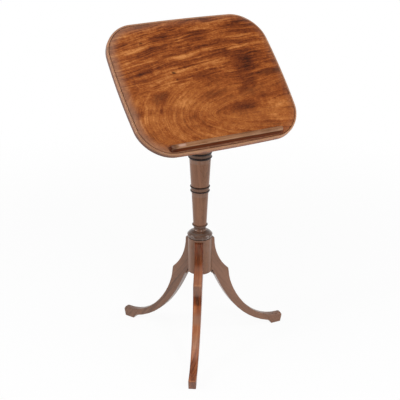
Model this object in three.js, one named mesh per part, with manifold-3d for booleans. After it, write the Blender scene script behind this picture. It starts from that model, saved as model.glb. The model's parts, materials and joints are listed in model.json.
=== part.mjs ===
import * as THREE from 'three';
import { mergeVertices } from 'three/addons/utils/BufferGeometryUtils.js';
import Module from 'manifold-3d';

// A tilting reading table: a dished top with a book ledge, propped by a ratchet strut over a
// swivelling block, on a round pole that slides in a turned column with three sabre legs.
// Millimetres, +Z up, the ledge along X on the side that faces -Y. The table stands as set up for
// reading, with the middle of its bounding box, at floor level, as the origin.

// Fits shared by all the pieces
const gap = 0.3; // clearance between two pieces that touch
const overrun = 2; // how far a cutting solid runs past the face that it opens
const weld = 0.0005; // points nearer than this are one point

// Faceting
const turnedSides = 28;
const drilledSides = 16;
const screwSides = 10;
const curveSteps = 3;

// Pose: the settings that the table is shown at
const boardTilt = THREE.MathUtils.degToRad(46);
const legAzimuths = {
  front: THREE.MathUtils.degToRad(-33.9),
  right: THREE.MathUtils.degToRad(86.1),
  left: THREE.MathUtils.degToRad(206.1),
};
const pivotHeight = 846.4; // the tilt pivot above the floor, with the pole as far out as shown

// Turned column, from the underside of its leg block upwards
const blockUnderside = 252;
const blockRadius = 37.3;
const blockHeight = 117;
const quirkRadius = 34.2; // the narrow grooves over and under the bead on the block
const quirkHeight = 1.1;
const baseBeadRadius = 37.5;
const baseBeadHeight = 5.9;
const domeRadius = 39.8;
const domeEdgeHeight = 3.6;
const domeHeight = 11.3;
const domeTopRadius = 22.5;
const domeHandleShares = [0.32, 0.72]; // handle of the dome's curve, as shares of its run and rise
const neckBulbHeight = 5;
const neckBulbRadius = 20.6;
const neckRingRadius = 18.8;
const neckRingHeight = 3.4;
const neckRadius = 16.4;
const neckHeight = 2;
const vaseRadius = 21.6;
const vaseHeight = 6.6;
const collarRadius = 24.6;
const collarHeight = 4;
const shaftFilletHeight = 2;
const shaftFootRadius = 21.1;
const lowerShaftHeight = 104;
const lowerShaftTopRadius = 26.1;
const waistFilletRadius = 27; // plain band that ends the lower shaft
const waistFilletHeight = 4.4;
const waistLowerBeadRadius = 30.4;
const waistUpperBeadRadius = 31;
const waistBandRadius = 28.2;
const waistBandHeight = 9.7;
const upperShaftHeight = 92.1;
const upperShaftTopRadius = 33.5;
const mouthBandRadius = 34.6;
const mouthBandHeight = 10.5;
const mouthBeadRadius = 37;
const shaftBeadHeight = 4.3; // each of the four narrow beads round the shaft
const lipRadius = 36;
const lipHeight = 5;
const lipRound = 2;
const boreFloorHeight = 172; // solid wood left under the pole's bore

// Sabre legs, each drawn as a profile of reach from the column's axis against height
const legThickness = 27.5;
const toeThickness = 22.9;
const legTopInset = 6; // how far the leg's top lies below the top of the block
const legTopReach = 46.5;
const legTopRound = 3.5;
const cuspReach = 97.6;
const cuspHeight = 243.7;
const cuspLean = 2.1;
const cuspDrop = 12.2;
const soleReach = 300; // the front edge of the sole
const soleLength = 34.4;
const toeLean = 6.3;
const toeHeight = 24.8;
const toeChamferRun = 4;
const toeChamferRise = 6.7;
const heelUndercut = 9.6;
const heelRise = 13.6;
const rootFlatRun = 14;
const rootFlatDrop = 26;
const outerSweepShares = [[0.018, 0.668], [0.402, -0.033]]; // handles, as shares of run and rise
const innerSweepShares = [[0.145, 0.71], [0.39, 0.172]];
const mouldingMargin = 3; // width of the plain band along each edge of the leg's outer face
const mouldingStep = 1.3; // how far the middle of that face stands proud of the bands
const mouldingRound = 2.6;
const edgeEase = 0.8; // small bevel worn along the long edges
const cavettoSteps = 8;
const outerSweepSteps = 14;
const innerSweepSteps = 12;
const dovetailDepth = 14;
const dovetailNeck = 14;
const dovetailFlare = 3; // how much wider the back of the dovetail is, on each side
const dovetailShoulder = 16; // how far the top of the dovetail lies below the top of the leg

// Iron brace under the block, screwed to the block and to each leg
const braceThickness = 2.6;
const braceHubRadius = 24;
const braceArmWidth = 15;
const braceArmDrop = 25;
const braceScrewShare = 0.58; // where the screw sits along the bent end of an arm

// Wood screws
const screwShankRadius = 2;
const screwHeadRadius = 4.2;
const screwHeadHeight = 2.2;
const screwTipLength = 4;
const screwSlotWidth = 1;
const screwSlotDepth = 1;
const braceScrewLength = 20;

// Sliding pole, its bush in the column's mouth and the screw that locks it
const poleRadius = 13;
const poleReach = 68; // length of pole inside the column as shown
const poleEndChamfer = 1.5;
const mouthBushWall = 2.6;
const mouthBushLength = 9.5;
const lockShankRadius = 2.6;
const lockBushRadius = 4.2;
const lockBushLength = 14;
const lockFlangeRadius = 5;
const lockFlangeThickness = 1.2;
const lockCollarRadius = 4;
const lockCollarLength = 3;
const lockWingLength = 11;
const lockWingHeight = 14;
const lockWingThickness = 4.4;

// Swivelling block at the top of the pole; lengths along Y are from the tilt pivot
const pivotSetForward = 17.3; // how far the tilt pivot lies in front of the column's axis
const blockHalfWidth = 46;
const topRestGap = 0.4; // between the block and the board when the top lies flat
const blockDepthBelowPivot = 32;
const blockTailPastStrut = 8.5;
const blockTailRound = 7;
const pintleRadius = 10;
const washerThickness = 1.5;
const shoulderWasherRadius = 17;
const keyPocketRadius = 17;
const keyPocketDepth = 13;
const pocketWasherRadius = 15.5;
const keyLength = 27;
const keyWidth = 4.5;
const keyHeight = 5.5;
const keyTaper = 1.5;
const pintleTopInset = 1.2;

// Ratchet strut: its hinge is as far from the tilt pivot as it is long, so that the crossbar
// travels along a straight line through the pivot, and the strut turns twice as far as the top
const strutLength = 72;
const strutSetDown = THREE.MathUtils.degToRad(14); // the hinge's direction below the horizontal
const rackSlope = THREE.MathUtils.degToRad(6.5); // the crossbar's line below the board's plane
const strutWidth = 60;
const strutThickness = 15;
const strutWaistDepth = 9;
const strutWaistShare = 0.5;
const strutSideClearance = 1;
const strutSlotAhead = 23; // from the strut's hinge to the front wall of its slot
const strutPinRadius = 3.5;
const strutPinInset = 2;
const crossbarRadius = 4.5;

// Tilting top; heights are from the tilt pivot, square to the board
const boardWidth = 546;
const boardDepth = 438.5;
const boardThickness = 17;
const boardTopHeight = 26.5;
const cornerRadius = 97;
const sideBow = 11.7;
const endBow = 5.1;
const rimWidth = 7.2;
const rimRise = 5; // height of the rounded part of the rim
const rimGrooveWidth = 1.6;
const rimGrooveDepth = 3.6;
const fieldEdgeWidth = 1.2;
const fieldDrop = 2; // how far the reading surface lies below the crest of the rim
const underRound = 2.5;
const underSteps = 2;
const cornerSteps = 10;
const sideSteps = 6;
const rimSteps = 6;

// Bearers under the board, with the racks cut in their lower edges
const bearerThickness = 18;
const bearerSideClearance = 0.5;
const bearerDepthBelowPivot = 12;
const bearerFrontReach = 150;
const bearerRearReach = 186;
const bearerEndHeight = 8;
const bearerTaperLength = 74;
const bearerRearTaperLength = 34;
const bearerHubReach = 20; // full depth of the bearer on either side of the pivot
const rackRecessRun = 16;
const notchPitch = 11;
const notchesBelowRest = 5; // notches for flatter settings than the one shown
const notchesAboveRest = 2;
const notchWrap = THREE.MathUtils.degToRad(115); // how far a notch reaches round the crossbar
const notchSteps = 5;
const toothTip = 1;
const pivotPinRadius = 4.5;
const pivotPinDepth = 20; // how far the pivot pin enters the block
const pivotPinHeadRadius = 7.5;
const pivotPinHeadHeight = 3;
const bearerScrewGrip = 5;
const bearerScrewLength = 13;
const bearerScrewEndInset = 15;
const bearerScrewMiddle = 44; // the middle screw, in front of the pivot

// Book ledge, along the front of the reading surface
const ledgeLength = 381;
const ledgeInset = 13; // from the board's front edge to the foot of the ledge
const ledgeWidth = 19;
const ledgeHeight = 16;
const ledgeFootHeight = 2.6;
const ledgeLipSetback = 4.6;
const ledgeLipHeight = 12;
const ledgeEndRound = 8;
const ledgeBackHeight = 8;
const ledgeHousing = 0.6; // depth of the shallow housing that the ledge sits in
const ledgeEndSteps = 10;
const pegRadius = 3.5;
const pegInLedge = 8;
const pegInBoard = 8.5;
const pegSpacing = 260;

// Places worked out from the sizes above
const blockTop = blockUnderside + blockHeight;
const strutHinge = new THREE.Vector3(
  0, strutLength * Math.cos(strutSetDown), -strutLength * Math.sin(strutSetDown));
const crossbarAngle = boardTilt - rackSlope;
const strutAngle = 2 * crossbarAngle + strutSetDown;
const restTravel = 2 * strutLength * Math.cos(crossbarAngle + strutSetDown);
const boardMiddle = pivotSetForward; // when the top lies flat its middle is over the column
const boardUnderside = boardTopHeight - boardThickness;
const blockNose = boardUnderside - topRestGap; // radius of the block's edge round the pivot
const fieldHeight = boardTopHeight - fieldDrop;
const housingFloor = fieldHeight - ledgeHousing;
const bearerInner = blockHalfWidth + bearerSideClearance;
const bearerOuter = bearerInner + bearerThickness;
const poleShoulder = pivotHeight - blockDepthBelowPivot - washerThickness - 2 * gap;

const wasm = await Module();
wasm.setup();

// Shared tools: solids

// The closed mesh of a geometry as a solid that can be joined and cut.
function solidOf(geometry) {
  const bare = geometry.clone();
  bare.deleteAttribute('normal');
  bare.deleteAttribute('uv');
  const merged = mergeVertices(bare, weld);
  const corners = Array.from(merged.index.array);
  const kept = [];
  for (let i = 0; i < corners.length; i += 3) {
    const [a, b, c] = corners.slice(i, i + 3);
    if (a !== b && b !== c && c !== a) kept.push(a, b, c);
  }
  return new wasm.Manifold(new wasm.Mesh({
    numProp: 3,
    vertProperties: merged.attributes.position.array,
    triVerts: new Uint32Array(kept),
  }));
}

// The geometry of a solid, ready for a mesh.
function geometryOf(solid) {
  const { vertProperties, triVerts } = solid.getMesh();
  const geometry = new THREE.BufferGeometry();
  geometry.setAttribute('position', new THREE.BufferAttribute(vertProperties, 3));
  geometry.setIndex(new THREE.BufferAttribute(triVerts, 1));
  geometry.computeVertexNormals();
  return geometry;
}

// A solid of revolution about Z, from a path of radius against height that starts and ends on Z.
function turned(path, sides = turnedSides) {
  return new THREE.LatheGeometry(path.getPoints(curveSteps), sides).rotateX(Math.PI / 2);
}

// A cylinder whose foot is at the origin and whose axis is Z.
function rod(radius, length, sides = drilledSides) {
  return new THREE.CylinderGeometry(radius, radius, length, sides)
    .rotateX(Math.PI / 2).translate(0, 0, length / 2);
}

// The same cylinder laid along X, with its middle at the origin.
function crossRod(radius, length, sides = drilledSides) {
  return new THREE.CylinderGeometry(radius, radius, length, sides).rotateZ(Math.PI / 2);
}

// A tube about Z, standing on the origin.
function tube(inner, outer, length, sides = turnedSides) {
  const wall = new THREE.Path();
  wall.moveTo(inner, 0).lineTo(outer, 0).lineTo(outer, length).lineTo(inner, length).lineTo(inner, 0);
  return turned(wall, sides);
}

function extruded(shape, depth, curveSegments = 8) {
  return new THREE.ExtrudeGeometry(shape, { depth, curveSegments, bevelEnabled: false });
}

// Turns a drawing made in X and Y, with its depth along Z, to face the named directions.
function facing(geometry, xAxis, yAxis, zAxis) {
  return geometry.applyMatrix4(new THREE.Matrix4().makeBasis(xAxis, yAxis, zAxis));
}

const alongX = new THREE.Vector3(1, 0, 0);
const alongY = new THREE.Vector3(0, 1, 0);
const alongZ = new THREE.Vector3(0, 0, 1);

// A section drawn in Y and Z, extruded evenly to both sides of the middle of X.
function sideSection(shape, width, curveSegments) {
  const slab = extruded(shape, width, curveSegments).translate(0, 0, -width / 2);
  return facing(slab, alongY, alongZ, alongX);
}

// Triangles that close a flat ring, facing +Z.
function capFaces(ring) {
  const flat = ring.map((p) => new THREE.Vector2(p.x, p.y));
  return THREE.ShapeUtils.triangulateShape(flat, []).map(([a, b, c]) => {
    const facingUp = THREE.ShapeUtils.area([flat[a], flat[b], flat[c]]) > 0;
    return facingUp ? [a, b, c] : [a, c, b];
  });
}

// A closed solid skinned over a stack of rings that hold equally many points.
function loft(rings) {
  const count = rings[0].length;
  const index = [];
  for (let r = 0; r + 1 < rings.length; r++) {
    for (let i = 0; i < count; i++) {
      const a = r * count + i;
      const b = r * count + (i + 1) % count;
      index.push(a, b, a + count, b, b + count, a + count);
    }
  }
  const last = (rings.length - 1) * count;
  for (const [a, b, c] of capFaces(rings[0])) index.push(c, b, a);
  for (const [a, b, c] of capFaces(rings.at(-1))) index.push(last + a, last + b, last + c);
  const geometry = new THREE.BufferGeometry().setFromPoints(rings.flat());
  geometry.setIndex(index);
  return geometry;
}

// An outline drawn anticlockwise, with each point moved inwards by its own amount.
function insetOutline(points, amounts) {
  return points.map((point, i) => {
    const before = points[(i + points.length - 1) % points.length];
    const after = points[(i + 1) % points.length];
    const arriving = point.clone().sub(before).normalize();
    const leaving = after.clone().sub(point).normalize();
    const inward = new THREE.Vector2(-arriving.y - leaving.y, arriving.x + leaving.x).normalize();
    const spread = Math.max(inward.dot(new THREE.Vector2(-arriving.y, arriving.x)), Math.SQRT1_2);
    return point.clone().addScaledVector(inward, amounts[i] / spread);
  });
}

// Finishes

const finish = (color, roughness, metalness = 0) =>
  new THREE.MeshStandardMaterial({ color, roughness, metalness });
const topMahogany = finish('#8a4a24', 0.35);
const standMahogany = finish('#6b4636', 0.4);
const darkMahogany = finish('#4a2616', 0.45);
const plainWood = finish('#7a5236', 0.7);
const brass = finish('#b08d4f', 0.35, 1);
const iron = finish('#4a4643', 0.6, 0.9);
const steel = finish('#8d8d8a', 0.4, 1);

function addPiece(group, name, geometry, material) {
  const mesh = new THREE.Mesh(geometry, material);
  mesh.name = name;
  group.add(mesh);
  return mesh;
}

// A wood screw whose head rests on the origin and whose shank runs up +Z.
function woodScrew(length) {
  const outline = new THREE.Path();
  outline.moveTo(0, -screwHeadHeight).lineTo(screwHeadRadius, -screwHeadHeight)
    .lineTo(screwHeadRadius, 0).lineTo(screwShankRadius, 0)
    .lineTo(screwShankRadius, length - screwTipLength).lineTo(0, length);
  const slot = new THREE.BoxGeometry(
    2 * screwHeadRadius + 2 * overrun, screwSlotWidth, 2 * screwSlotDepth);
  slot.translate(0, 0, -screwHeadHeight);
  return geometryOf(solidOf(turned(outline, screwSides)).subtract(solidOf(slot)));
}

// The hole for such a screw, with room for its head below the origin.
function screwHole(length, headRoom) {
  const shank = rod(screwShankRadius + gap, length + gap, screwSides);
  const head = rod(screwHeadRadius + gap, headRoom + overrun, screwSides);
  head.translate(0, 0, gap - headRoom - overrun);
  return solidOf(shank).add(solidOf(head));
}

// Turned column

function columnProfile() {
  const path = new THREE.Path();
  let z = blockUnderside;
  const to = (radius, rise) => {
    z += rise;
    path.lineTo(radius, z);
  };
  const bead = (base, radius, height) => {
    to(base, 0);
    path.quadraticCurveTo(2 * radius - base, z + height / 2, base, z + height);
    z += height;
  };
  path.moveTo(0, z);
  to(blockRadius - edgeEase, 0);
  to(blockRadius, edgeEase);
  to(blockRadius, blockHeight - 2 * edgeEase);
  to(blockRadius - edgeEase, edgeEase);
  to(quirkRadius, 0);
  to(quirkRadius, quirkHeight);
  bead(quirkRadius, baseBeadRadius, baseBeadHeight);
  to(quirkRadius, quirkHeight);
  bead(domeRadius - edgeEase, domeRadius, domeEdgeHeight);
  const [run, rise] = domeHandleShares;
  path.quadraticCurveTo(domeRadius - (domeRadius - domeTopRadius) * run, z + domeHeight * rise,
    domeTopRadius, z + domeHeight);
  z += domeHeight;
  bead(neckRingRadius, neckBulbRadius, neckBulbHeight);
  bead(neckRadius, neckRingRadius, neckRingHeight);
  to(neckRadius, neckHeight);
  path.quadraticCurveTo(vaseRadius, z, vaseRadius, z + vaseHeight);
  z += vaseHeight;
  bead(vaseRadius, collarRadius, collarHeight);
  to(vaseRadius, shaftFilletHeight);
  to(shaftFootRadius, 0);
  to(lowerShaftTopRadius, lowerShaftHeight);
  to(waistFilletRadius, 0);
  to(waistFilletRadius, waistFilletHeight);
  bead(waistBandRadius, waistLowerBeadRadius, shaftBeadHeight);
  to(waistBandRadius, waistBandHeight);
  bead(waistBandRadius, waistUpperBeadRadius, shaftBeadHeight);
  to(upperShaftTopRadius, upperShaftHeight);
  bead(upperShaftTopRadius, mouthBeadRadius, shaftBeadHeight);
  to(mouthBandRadius, 0);
  const lockHeight = z + mouthBandHeight / 2; // the locking screw lies between the beads
  to(mouthBandRadius, mouthBandHeight);
  bead(mouthBandRadius, mouthBeadRadius, shaftBeadHeight);
  to(lipRadius, 0);
  to(lipRadius, lipHeight - lipRound);
  path.quadraticCurveTo(lipRadius, z + lipRound, lipRadius - lipRound, z + lipRound);
  z += lipRound;
  return { path, mouth: z, lockHeight };
}

const columnShape = columnProfile();
const columnMouth = columnShape.mouth;
const mouthBushRadius = poleRadius + gap + mouthBushWall;
const lockAzimuth = legAzimuths.front + Math.PI; // opposite the front leg

// Plan of a dovetail, neck at the block's surface, in the frame of a leg that points along -Y.
function dovetailPlan(grow) {
  const neck = dovetailNeck / 2 + grow;
  const back = neck + dovetailFlare;
  const inner = -(blockRadius - dovetailDepth - grow);
  const outer = -(blockRadius + overrun);
  return new THREE.Shape([
    new THREE.Vector2(-neck, outer), new THREE.Vector2(neck, outer),
    new THREE.Vector2(back, inner), new THREE.Vector2(-back, inner),
  ]);
}

const legTop = blockTop - legTopInset;
const dovetailTop = legTop - dovetailShoulder;

function columnSolid() {
  const path = columnShape.path;
  const seat = mouthBushRadius + gap;
  const bore = poleRadius + 2 * gap;
  path.lineTo(seat, columnMouth).lineTo(seat, columnMouth - mouthBushLength - gap)
    .lineTo(bore, columnMouth - mouthBushLength - gap)
    .lineTo(bore, blockUnderside + boreFloorHeight).lineTo(0, blockUnderside + boreFloorHeight);
  let solid = solidOf(turned(path));
  for (const azimuth of Object.values(legAzimuths)) {
    const socket = extruded(dovetailPlan(gap), dovetailTop + gap - blockUnderside + overrun);
    socket.translate(0, 0, blockUnderside - overrun).rotateZ(azimuth);
    solid = solid.subtract(solidOf(socket));
  }
  const lockHole = rod(lockBushRadius + gap, lipRadius + overrun);
  lockHole.rotateX(Math.PI / 2).rotateZ(lockAzimuth).translate(0, 0, columnShape.lockHeight);
  solid = solid.subtract(solidOf(lockHole));
  const pilot = rod(screwShankRadius + gap, braceScrewLength + overrun, screwSides);
  return solid.subtract(solidOf(pilot.translate(0, 0, blockUnderside - overrun)));
}

// Sabre leg, drawn in the frame of a leg that points along -Y

const rootFlatStart = new THREE.Vector2(blockRadius + gap, blockUnderside);
const rootFlatEnd = new THREE.Vector2(rootFlatStart.x + rootFlatRun, blockUnderside - rootFlatDrop);

// A sweep between two points of the profile, from handles given as shares of its run and rise.
function sweep(from, to, [first, second], steps) {
  const handle = ([run, rise]) => new THREE.Vector2(
    from.x + (to.x - from.x) * run, to.y + (from.y - to.y) * rise);
  return new THREE.CubicBezierCurve(from, handle(first), handle(second), to).getPoints(steps);
}

function legProfile() {
  const point = (x, y) => new THREE.Vector2(x, y);
  const shoulderTop = legTop - legTopRound;
  const run = cuspReach - legTopReach;
  const rise = shoulderTop - cuspHeight;
  const cavetto = (run * run + rise * rise) / (2 * run); // radius of the hollow above the cusp
  const outer = [point(blockRadius - overrun, legTop)];
  for (let i = 0; i <= curveSteps; i++) {
    const a = (Math.PI / 2) * (1 - i / curveSteps);
    outer.push(point(
      legTopReach - legTopRound + legTopRound * Math.cos(a), shoulderTop + legTopRound * Math.sin(a)));
  }
  const cavettoEnd = Math.asin(rise / cavetto);
  for (let i = 1; i <= cavettoSteps; i++) {
    const a = cavettoEnd * i / cavettoSteps;
    outer.push(point(legTopReach + cavetto * (1 - Math.cos(a)), shoulderTop - cavetto * Math.sin(a)));
  }
  const cuspFoot = point(cuspReach + cuspLean, cuspHeight - cuspDrop);
  const toeTop = point(soleReach + toeLean, toeHeight);
  const crest = point(toeTop.x - toeChamferRun, toeTop.y + toeChamferRise);
  outer.push(...sweep(cuspFoot, crest, outerSweepShares, outerSweepSteps), toeTop);
  const heelTop = point(soleReach - soleLength - heelUndercut, heelRise);
  const inner = [
    point(soleReach, 0), point(soleReach - soleLength, 0),
    ...sweep(rootFlatEnd, heelTop, innerSweepShares, innerSweepSteps).reverse(),
    rootFlatStart, point(blockRadius - overrun, blockUnderside),
  ];
  return { outer, inner };
}

function legGeometry() {
  const { outer, inner } = legProfile();
  const clockwise = [...outer, ...inner];
  const outline = clockwise.slice().reverse();
  const thicknessAt = (height) =>
    toeThickness + (legThickness - toeThickness) * Math.min(height / cuspHeight, 1);
  const layer = (fromEdge, outerInset, innerInset, side) => {
    const amounts = clockwise.map((p, i) => {
      if (i === 0 || i === clockwise.length - 1) return 0;
      return i < outer.length ? outerInset : innerInset;
    }).reverse();
    return insetOutline(outline, amounts).map((p) => new THREE.Vector3(
      p.x, p.y, side * (thicknessAt(p.y) / 2 - fromEdge)));
  };
  const steps = [
    [0, mouldingStep + edgeEase, edgeEase],
    [edgeEase, mouldingStep, 0],
    [mouldingMargin, mouldingStep, 0],
    [mouldingMargin + edgeEase / 2, edgeEase / 2, 0],
    [mouldingMargin + mouldingRound, 0, 0],
  ];
  const rings = [
    ...steps.map((step) => layer(...step, -1)),
    ...steps.slice().reverse().map((step) => layer(...step, 1)),
  ];
  const body = facing(loft(rings), alongY.clone().negate(), alongZ, alongX.clone().negate());
  const hollow = rod(blockRadius + gap, legTop, turnedSides);
  hollow.translate(0, 0, blockUnderside - overrun);
  const tenon = extruded(dovetailPlan(0), dovetailTop - blockUnderside);
  tenon.translate(0, 0, blockUnderside);
  const screw = screwHole(braceScrewLength, braceThickness + gap);
  return geometryOf(solidOf(body).subtract(solidOf(hollow)).add(solidOf(tenon))
    .subtract(screw.transform(braceScrewMatrix().toArray())));
}

// Iron brace

const braceSlope = Math.atan2(rootFlatDrop, rootFlatRun);
const braceBend = new THREE.Vector2(
  rootFlatStart.x - gap * Math.tan(braceSlope / 2), blockUnderside - gap);

// The place of an arm's screw, in the frame of its leg, with the shank pointing into the wood.
function braceScrewMatrix() {
  const along = new THREE.Vector3(0, -Math.cos(braceSlope), -Math.sin(braceSlope));
  const into = new THREE.Vector3(0, -Math.sin(braceSlope), Math.cos(braceSlope));
  const seat = new THREE.Vector3(0, -braceBend.x, braceBend.y)
    .addScaledVector(along, braceArmDrop * braceScrewShare)
    .addScaledVector(into, -braceThickness - gap);
  return new THREE.Matrix4().makeBasis(alongX, along.clone().cross(into).cross(into).negate(), into)
    .setPosition(seat);
}

function braceSolid() {
  const bottom = braceBend.y - braceThickness;
  const down = new THREE.Vector2(Math.cos(braceSlope), -Math.sin(braceSlope));
  const under = new THREE.Vector2(-Math.sin(braceSlope), -Math.cos(braceSlope));
  const end = braceBend.clone().addScaledVector(down, braceArmDrop);
  const arm = new THREE.Shape([
    new THREE.Vector2(0, bottom),
    new THREE.Vector2(braceBend.x - braceThickness * Math.tan(braceSlope / 2), bottom),
    end.clone().addScaledVector(under, braceThickness),
    end, braceBend, new THREE.Vector2(0, braceBend.y),
  ]);
  let solid = solidOf(rod(braceHubRadius, braceThickness).translate(0, 0, bottom));
  for (const azimuth of Object.values(legAzimuths)) {
    const strap = sideSection(arm, braceArmWidth).rotateZ(Math.PI);
    const place = braceScrewMatrix().premultiply(new THREE.Matrix4().makeRotationZ(azimuth));
    solid = solid.add(solidOf(strap.rotateZ(azimuth)))
      .subtract(screwHole(braceScrewLength, overrun).transform(place.toArray()));
  }
  const centre = rod(screwShankRadius + gap, braceThickness + 2 * overrun, screwSides);
  return solid.subtract(solidOf(centre.translate(0, 0, bottom - overrun)));
}

// Locking screw, drawn along -Y at the height of its axis

function lockScrewGeometry() {
  const tip = poleRadius + gap;
  const collarStart = mouthBandRadius + lockFlangeThickness + 2 * gap;
  const wingStart = collarStart + lockCollarLength;
  const outline = new THREE.Path();
  outline.moveTo(0, tip).lineTo(lockShankRadius, tip).lineTo(lockShankRadius, collarStart)
    .lineTo(lockCollarRadius, collarStart).lineTo(lockCollarRadius, wingStart)
    .lineTo(lockShankRadius, wingStart + lockShankRadius).lineTo(0, wingStart + lockShankRadius);
  const wing = new THREE.Shape();
  wing.absellipse(0, lockWingLength / 2, lockWingHeight / 2, lockWingLength / 2, 0, 2 * Math.PI);
  const plate = extruded(wing, lockWingThickness, 10).translate(0, wingStart, -lockWingThickness / 2);
  const flat = facing(plate, alongX, alongZ, alongY.clone().negate());
  const solid = solidOf(turned(outline, drilledSides)).add(solidOf(flat));
  return geometryOf(solid).rotateX(Math.PI / 2);
}

function lockBushGeometry() {
  const outer = mouthBandRadius + gap;
  const inner = mouthBandRadius - lockBushLength;
  const hole = lockShankRadius + gap;
  const wall = new THREE.Path();
  wall.moveTo(hole, inner).lineTo(lockBushRadius, inner).lineTo(lockBushRadius, outer)
    .lineTo(lockFlangeRadius, outer).lineTo(lockFlangeRadius, outer + lockFlangeThickness)
    .lineTo(hole, outer + lockFlangeThickness).lineTo(hole, inner);
  return turned(wall, drilledSides).rotateX(Math.PI / 2);
}

// Pole with its pintle, drawn from the tilt pivot's height

const pocketFloor = blockNose - keyPocketDepth;
const keySeat = pocketFloor + gap + washerThickness + gap;

function poleSolid() {
  const shoulder = poleShoulder - pivotHeight;
  const foot = columnMouth - poleReach - pivotHeight;
  const pintleTop = blockNose - pintleTopInset;
  const outline = new THREE.Path();
  outline.moveTo(0, foot).lineTo(poleRadius - poleEndChamfer, foot)
    .lineTo(poleRadius, foot + poleEndChamfer).lineTo(poleRadius, shoulder)
    .lineTo(pintleRadius, shoulder).lineTo(pintleRadius, pintleTop - poleEndChamfer)
    .lineTo(pintleRadius - poleEndChamfer, pintleTop).lineTo(0, pintleTop);
  const slot = new THREE.BoxGeometry(
    2 * (pintleRadius + overrun), keyWidth + 2 * gap, keyHeight + 2 * gap);
  slot.translate(0, 0, keySeat + keyHeight / 2);
  return solidOf(turned(outline, turnedSides)).subtract(solidOf(slot));
}

function keyGeometry() {
  const side = new THREE.Shape([
    new THREE.Vector2(-keyLength / 2, 0), new THREE.Vector2(keyLength / 2, 0),
    new THREE.Vector2(keyLength / 2, keyHeight - keyTaper), new THREE.Vector2(-keyLength / 2, keyHeight),
  ]);
  const wedge = extruded(side, keyWidth).translate(0, 0, -keyWidth / 2);
  return facing(wedge, alongX, alongZ, alongY.clone().negate()).translate(0, 0, keySeat);
}

// Swivelling block, drawn from the tilt pivot

function blockSolid() {
  const tail = strutHinge.y + blockTailPastStrut;
  const side = new THREE.Shape();
  side.moveTo(-blockNose, -blockDepthBelowPivot + edgeEase);
  side.lineTo(-blockNose + edgeEase, -blockDepthBelowPivot);
  side.lineTo(tail - blockTailRound, -blockDepthBelowPivot);
  side.quadraticCurveTo(tail, -blockDepthBelowPivot, tail, -blockDepthBelowPivot + blockTailRound);
  side.lineTo(tail, strutHinge.z + blockTailPastStrut);
  side.quadraticCurveTo(tail, blockNose, tail - blockDepthBelowPivot + blockTailRound, blockNose);
  side.lineTo(0, blockNose);
  side.absarc(0, 0, blockNose, Math.PI / 2, Math.PI, false);
  side.closePath();
  const axis = new THREE.Vector3(0, pivotSetForward, 0);
  const cuts = [
    rod(pintleRadius + gap, blockDepthBelowPivot + blockNose + 2 * overrun, turnedSides)
      .translate(axis.x, axis.y, -blockDepthBelowPivot - overrun),
    rod(keyPocketRadius, keyPocketDepth + overrun, turnedSides)
      .translate(axis.x, axis.y, pocketFloor),
    new THREE.BoxGeometry(
      strutWidth + 2 * strutSideClearance, strutSlotAhead + blockTailPastStrut + overrun,
      blockDepthBelowPivot + blockNose + 2 * overrun,
    ).translate(
      0, strutHinge.y + (blockTailPastStrut + overrun - strutSlotAhead) / 2,
      (blockNose - blockDepthBelowPivot) / 2),
    crossRod(strutPinRadius + gap, 2 * (blockHalfWidth + overrun))
      .translate(0, strutHinge.y, strutHinge.z),
  ];
  for (const end of [-1, 1]) {
    cuts.push(crossRod(pivotPinRadius + gap, pivotPinDepth + gap + overrun)
      .translate(end * (blockHalfWidth + (overrun - pivotPinDepth - gap) / 2), 0, 0));
  }
  return cuts.reduce(
    (solid, cut) => solid.subtract(solidOf(cut)), solidOf(sideSection(side, 2 * blockHalfWidth, 6)));
}

// Strut, drawn from its hinge, lying along +Y

function strutSolid() {
  const r = strutThickness / 2;
  const side = new THREE.Shape();
  side.absarc(0, 0, r, Math.PI / 2, 3 * Math.PI / 2, false);
  side.absarc(strutLength, 0, r, -Math.PI / 2, Math.PI / 2, false);
  side.closePath();
  let solid = solidOf(sideSection(side, strutWidth, 8));
  const waistRun = (strutLength - 2 * r) * strutWaistShare;
  const waistRadius = (waistRun * waistRun + strutWaistDepth * strutWaistDepth) / (2 * strutWaistDepth);
  for (const end of [-1, 1]) {
    const waist = rod(waistRadius, strutThickness + 2 * overrun, 2 * turnedSides);
    waist.translate(end * (strutWidth / 2 - strutWaistDepth + waistRadius), strutLength / 2, -r - overrun);
    solid = solid.subtract(solidOf(waist));
  }
  const pinBore = crossRod(strutPinRadius + gap, strutWidth + 2 * overrun);
  const barBore = crossRod(crossbarRadius + gap, strutWidth + 2 * overrun).translate(0, strutLength, 0);
  return solid.subtract(solidOf(pinBore)).subtract(solidOf(barBore));
}

// Board, drawn from the tilt pivot with +Y up the slope

// The board's outline drawn in by an inset: rounded corners, and sides bowed a little outwards.
function boardOutline(inset) {
  const halfX = boardWidth / 2 - inset;
  const halfY = boardDepth / 2 - inset;
  const radius = cornerRadius - inset;
  const corners = [[1, 1], [-1, 1], [-1, -1], [1, -1]];
  const points = [];
  corners.forEach(([cx, cy], quarter) => {
    for (let i = 0; i <= cornerSteps; i++) {
      const a = (Math.PI / 2) * (quarter + i / cornerSteps);
      points.push(new THREE.Vector2(
        cx * (halfX - radius) + radius * Math.cos(a), cy * (halfY - radius) + radius * Math.sin(a)));
    }
    const [nx, ny] = corners[(quarter + 1) % corners.length];
    const start = points.at(-1);
    const alongSide = quarter % 2 === 0;
    const endPoint = alongSide
      ? new THREE.Vector2(nx * (halfX - radius), ny * halfY)
      : new THREE.Vector2(nx * halfX, ny * (halfY - radius));
    for (let i = 1; i < sideSteps; i++) points.push(start.clone().lerp(endPoint, i / sideSteps));
  });
  return points.map((p) => {
    const shareX = p.x / (boardWidth / 2);
    const shareY = p.y / (boardDepth / 2);
    return new THREE.Vector2(
      p.x * (1 - (2 * sideBow / boardWidth) * shareY * shareY),
      p.y * (1 - (2 * endBow / boardDepth) * shareX * shareX) + boardMiddle);
  });
}

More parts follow.
